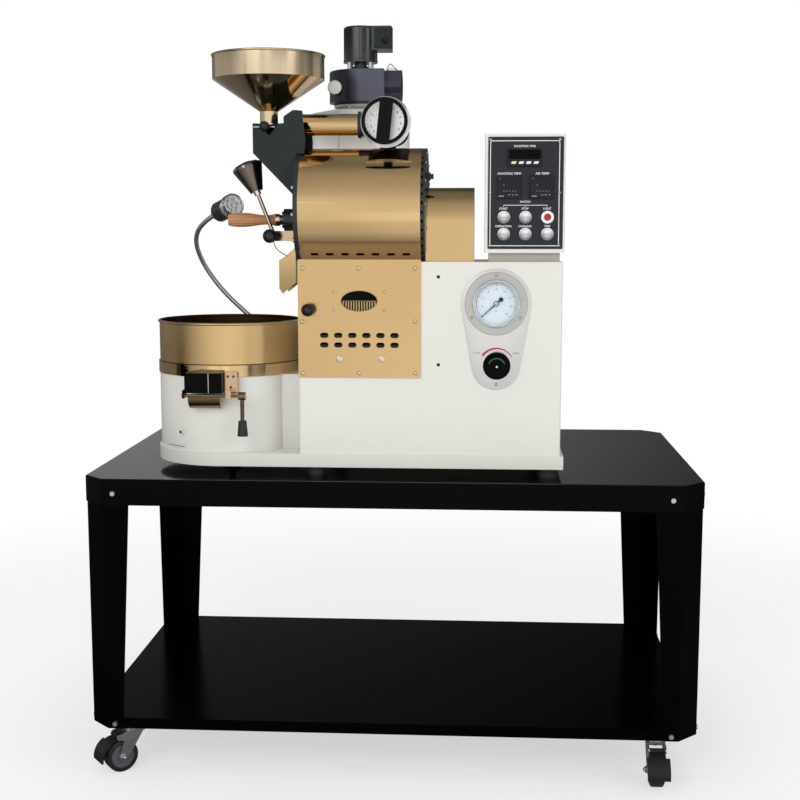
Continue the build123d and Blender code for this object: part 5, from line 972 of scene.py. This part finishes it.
# %% Bend a straight part along a line
def laid_along(part, points):
    """Moves a part that stands on local Z so that it follows a smooth line."""
    spine = tube(points, 0)
    line = [v.co.copy() for v in spine.verts]
    spine.free()
    along, frames = [0], []
    side, previous = Vector((0, 0, 1)), None
    for a, b in zip(line, line[1:]):
        way = (b - a).normalized()
        if previous is not None:
            side = previous.rotation_difference(way) @ side
        side = (side - way * side.dot(way)).normalized()
        frames.append((side, way.cross(side)))
        along.append(along[-1] + (b - a).length)
        previous = way
    tallest = max(v.co.z for v in part.verts)
    for v in part.verts:
        reach = v.co.z / tallest * along[-1]
        i = min(max(0, next((k for k, s in enumerate(along) if s > reach), len(along)) - 1), len(frames) - 1)
        t = (reach - along[i]) / (along[i + 1] - along[i])
        u, w = frames[i]
        if i + 1 < len(frames):
            u, w = u.lerp(frames[i + 1][0], t).normalized(), w.lerp(frames[i + 1][1], t).normalized()
        v.co = line[i].lerp(line[i + 1], t) + u * v.co.x + w * v.co.y
    bmesh.ops.recalc_face_normals(part, faces=part.faces)
    return part


neck_route = [(-195, -27, 817), (-227, -12, 822), (-262, 14, 837), (-300, 24, 864), (-341, 23, 896),
              (-392, 18, 946), (-428, 2, 1002), (-439, -28, 1052), (-416, -60, 1090), (-373, -82, 1111)]
turn_count, pitch = 190, 2.8
ribs = [(0, 0)] + [(r, pitch * (k + h)) for k in range(turn_count)
                   for r, h in ((4.72, 0), (5, 0.3), (5, 0.7))]
ribs += [(4.72, pitch * turn_count), (0, pitch * turn_count)]
piece("lamp_neck", [laid_along(turned(ribs, steps=12), neck_route)], chrome,
      replaces=["work_lamp"], crease=80)
socket = [(0, 18), (6.5, 18), (8, 16.5), (8.2, 6), (10, 5), (10, 0), (0, 0)]
piece("lamp_socket", [turned(socket, on_left(-181, -27, 817), 32)], black_plastic)

# %% Lamp head
head = facing(neck_route[-1], Vector((0.66, -0.7, 0.25)).normalized())
cap = [(0, -8), (14.6, -8), (16.4, -7.4), (17, -6.2), (17, -4.6), (16.2, -3.6), (16.2, -2.6), (18.6, -1.6),
       (20.2, 0), (0, 0)]
barrel = [(0, 0), (20.4, 0), (21, 0.8), (21, 3.4), (20.3, 4), (20.3, 5), (21, 5.6), (21, 33.6),
          (20.2, 34.6), (0, 34.6)]
bezel = [(19.8, 34.6), (20.6, 34.8), (21, 35.6), (21, 41), (22.6, 42), (23.4, 43.4), (23.4, 45.6),
         (22.9, 46.2), (23.5, 46.8), (23.5, 58.2), (23.1, 59.4), (22.2, 60), (21.2, 59.6), (20.4, 58.4),
         (20.1, 54), (19.8, 34.6)]
# Painted light: the board glows faintly though its diodes are not lit.
lamp_board = moulded("white_board", (0.72, 0.73, 0.75), 0.35, Emission_Strength=0.22)
lamp_board.set("Emission Color", lamp_board.noise(0.01).tint((0.9, 0.9, 0.92), (0.8, 0.8, 0.83)))
piece("lamp_cap", [turned(cap, head, 48)], chrome)
piece("lamp_barrel", [turned(barrel, head, 48)], cast_black)
piece("lamp_bezel", [turned(bezel, head, 64)], chrome)
board = [(0, 51.6), (20, 51.6), (20, 50.2), (0, 50.2)]
piece("lamp_board", [turned(board, head, 48)], lamp_board)
middles = [(0, 0)] + [around((0, 0), 12, 60 * k + 12) for k in range(6)]
spots = [head @ shift(x, y, 51.6) for x, y in middles]
cup = [(2.7, 0.2), (4.9, 2.7), (5.3, 2.7), (5.3, 0), (2.7, 0), (2.7, 0.2)]
piece("lamp_cups", [turned(cup, spot, 24) for spot in spots],
      moulded("pale_cups", (0.7, 0.71, 0.73), 0.35))
diode = [(0, 1.3), (1.6, 1), (2.4, 0), (0, 0)]
piece("lamp_diodes", [turned(diode, spot, 20) for spot in spots],
      moulded("diode_resin", (0.5, 0.51, 0.47), 0.25))
lens = [(0, 57.6), (19.6, 57.2), (20, 56.6), (20, 55.8), (0, 56)]
piece("lamp_lens", [turned(lens, head, 64)], glass)

# %% [markdown]
# ## Fan, motor and cyclone
# The fan casing is a spiral of black sheet with a bright inspection plug on a boss at its
# left, screws round its lid, and a spring clip on the outlet. The motor stands on four bright
# pillars round its coupling. The cyclone is rolled sheet, so one upright seam runs down it.

# %% Plug, pillars, coupling, clip and screws
plug, fan_at, casing_top = (-142.6, 1376.6), (-94, 110), 1414.6
fan_paint = painted("blue_black_enamel", (0.05, 0.053, 0.075), 0.2, 0.003, 0.00005)
# Painted light and shade: the enamel is lighter on the flat front of the casing, dark on its curved left and
# dimmer to its right.
x = fan_paint.axis("X")
lit = x.rise(-120 * mm, -88 * mm) * (1 - x.rise(-40 * mm, -32 * mm) * 0.7)
dress(fan_paint.set("Base Color", lit.tint((0.006, 0.007, 0.012), (0.07, 0.075, 0.11))), "fan_housing")
boss = [(0, 0), (15.8, 0), (15.8, 29), (15.2, 30), (0, 30)]
piece("fan_boss", [turned(boss, on_front(*plug, 68), 48)], fan_paint)
disc = [(0, 1.4), (12.6, 1.4), (13, 2), (14, 2), (14.6, 1.2), (14.6, 0), (0, 0)]
piece("fan_plug", [turned(disc, on_front(*plug, 38.2), 48)], metal("plug_steel", (0.95, 0.96, 0.97), 0.4))
lid = [around((fan_at[0] + 4, fan_at[1] - 4), 60, 98 + 29 * k) for k in range(7)]
piece("fan_lid_screws", [dome_screw(upright(x, y, casing_top - 0.4), 2.6, 1.4) for x, y in lid],
      zinc)
motor_finish = zoned("motor", ((0.004, 0.005, 0.009), 0.1, 0), lambda f, x, y, z: [
    (past(z, 1417.7) * before(z, 1434.9), (0.66, 0.67, 0.68), 0.3, 1)])
dress(motor_finish.set("Specular IOR Level", 1), "fan_motor")
coupling = [(0, 3), (17, 3), (17.4, 3.6), (17.4, 6.2), (14.5, 6.6), (14.5, 9.4), (19.5, 9.8),
            (19.5, 12.4), (14, 12.9), (14, 20.2), (0, 20.2)]
piece("motor_coupling", [turned(coupling, upright(*fan_at, casing_top))],
      moulded("shaft_black", (0.02, 0.021, 0.024), 0.2))
collar = [(5.6, 0), (5.6, 1.6), (4.1, 2.4), (4.1, 0), (5.6, 0)]
pillars = [around(fan_at, 32.2, 45 + 90 * k) for k in range(4)]
piece("pillar_collars", [turned(collar, upright(x, y, casing_top + 3), 24) for x, y in pillars],
      zinc)
motor_rim = [(36.8, 0), (37.4, 0.4), (37.4, 5.6), (36.8, 6.2), (36.2, 6.2), (36.2, 0), (36.8, 0)]
piece("motor_rim", [turned(motor_rim, upright(*fan_at, 1435), 64)], motor_finish)
box_x, box_z, box_front = -42, 1485.5, 84
lid_screws = [(box_x + dx, box_z + dz) for dx in (-16.5, 16.5) for dz in (-19, 19)]
piece("junction_lid", [plate(40, 45, 1.6, on_front(box_x, box_z, box_front), 3, 0.6)], charcoal)
piece("junction_screws", screws(lid_screws, box_front - 1.6, 1.8, 0.9), dark_hole)
gland = [(0, 10), (3.2, 10), (4.4, 9), (5, 7.4), (6.6, 6.6), (6.6, 1.6), (7.8, 1.4), (7.8, 0), (0, 0)]
piece("junction_gland", [turned(gland, on_front(box_x + 4, box_z - 6, box_front - 1.6), 24)],
      black_plastic)
clip = [(-34, 62, 1415), (-31, 62, 1421), (-26, 62, 1428.5), (-20, 62, 1423), (-11, 62, 1414.5),
        (-9, 62, 1412)]
foot = [(-33, 62, 1416.5), (-22, 62, 1418.5), (-12, 62, 1415)]
piece("outlet_clip", [tube(clip, 1.1), tube(foot, 0.9)], steel)
outlet_band = [(33.2, 0), (33.9, 0.4), (33.9, 5.6), (33.2, 6), (32.6, 6), (32.6, 0), (33.2, 0)]
piece("outlet_band", [turned(outlet_band, on_right(-34, 71, 1381.8), 64)], fan_paint)

# %% Seam of the cyclone, bolts of its neck and band of its pot
seam = 249
seam_at = upright(*around(fan_at, 106.6, seam), 1205, seam + 90) @ shift(0, 0, -119)
piece("cyclone_seam", [plate(3.4, 1.1, 238, seam_at, 0.5)], cream)
flange_bolts = []
for k in range(8):
    flange_bolts += hex_head(upright(*around(fan_at, 53, 22.5 + 45 * k), 1335), 6, 4)
piece("neck_bolts", flange_bolts, zinc)
pot_band = [(92, 0), (93.6, 0.8), (94, 3), (94, 9), (93.6, 11.2), (92, 12), (92, 0)]
piece("pot_band", [turned(pot_band, upright(*fan_at, 826), 96)], steel)

# %% [markdown]
# ## Cooling bin, bean hood and casters
# The foot band of the bin is polished more than its wall, and a dark joint parts the two.
# The black hood carries a thin bright edge strip and a copper bracket with three screws. A
# caster is one packed wheel, so its tyre, grey core and steel hub come from the distance to
# its axle.

# %% Band, hood trim and bracket screws
# Inside its wall the bin is a deep brown.
dress(zoned("bin_gold", ((0.69, 0.475, 0.225), 0.25, 1), lambda f, x, y, z: [
    (before(from_axle(f, (*bin_axis, 0), (0, 0, 1)), 142.7), (0.075, 0.04, 0.02), 0.35, 1),
    (before(z, 810.8), (0.74, 0.52, 0.27), 0.05, 1),
    (past(z, 810.8) * before(z, 812.6), (0.1, 0.06, 0.03), 0.3, 1)]), "cooling_bin")
piece("hood_strip", [plate(1.4, 38, 0.9, on_front(-353, 779.5, -320), 0.3, 0.3)], chrome)
bracket_screws = ((-318, 791), (-307, 791), (-312.5, 770))
piece("bracket_screws", screws(bracket_screws, -302, 2.6, 1.5), bronze)
cap = [(0, 2.6), (3.4, 2.3), (4.6, 1.5), (5, 0.4), (5, 0.1), (2.4, 0.1), (2.4, -1), (0, -1)]
piece("rod_cap", [turned(cap, on_left(-403, -321, 755.4), 24)], copper_gold, "bin_gate")

# %% Wheels and fork caps
casters = {"fl": (-520, -322, -52), "fr": (520, -322, 0), "rl": (-520, 322, 155), "rr": (520, 322, 180)}
cap = [(0, 4), (2.2, 3.6), (3.6, 2.4), (4.2, 0.6), (4.2, 0), (0, 0)]
for corner, (x, y, turn) in casters.items():
    hub, way = (*around((x, y), 26, turn - 90), 32.5), (*around((0, 0), 1, turn), 0)
    dress(zoned("caster_" + corner, ((0.013, 0.013, 0.014), 0.5, 0), lambda f, *axes: [
        (before(from_axle(f, hub, way), 23.9), (0.085, 0.095, 0.11), 0.38, 0),
        (before(from_axle(f, hub, way), 9.2), (0.5, 0.5, 0.5), 0.3, 1)], 0.0012, 0.00006),
          "caster_wheel_" + corner)
    sides = [upright(*hub, turn) @ Matrix.Rotation(radians(turned_by), 4, "Y") for turned_by in (90, -90)]
    caps = [turned(cap, side @ shift(0, 0, 21.9), 20) for side in sides]
    piece("caster_caps_" + corner, caps, chrome, "caster_fork_" + corner)
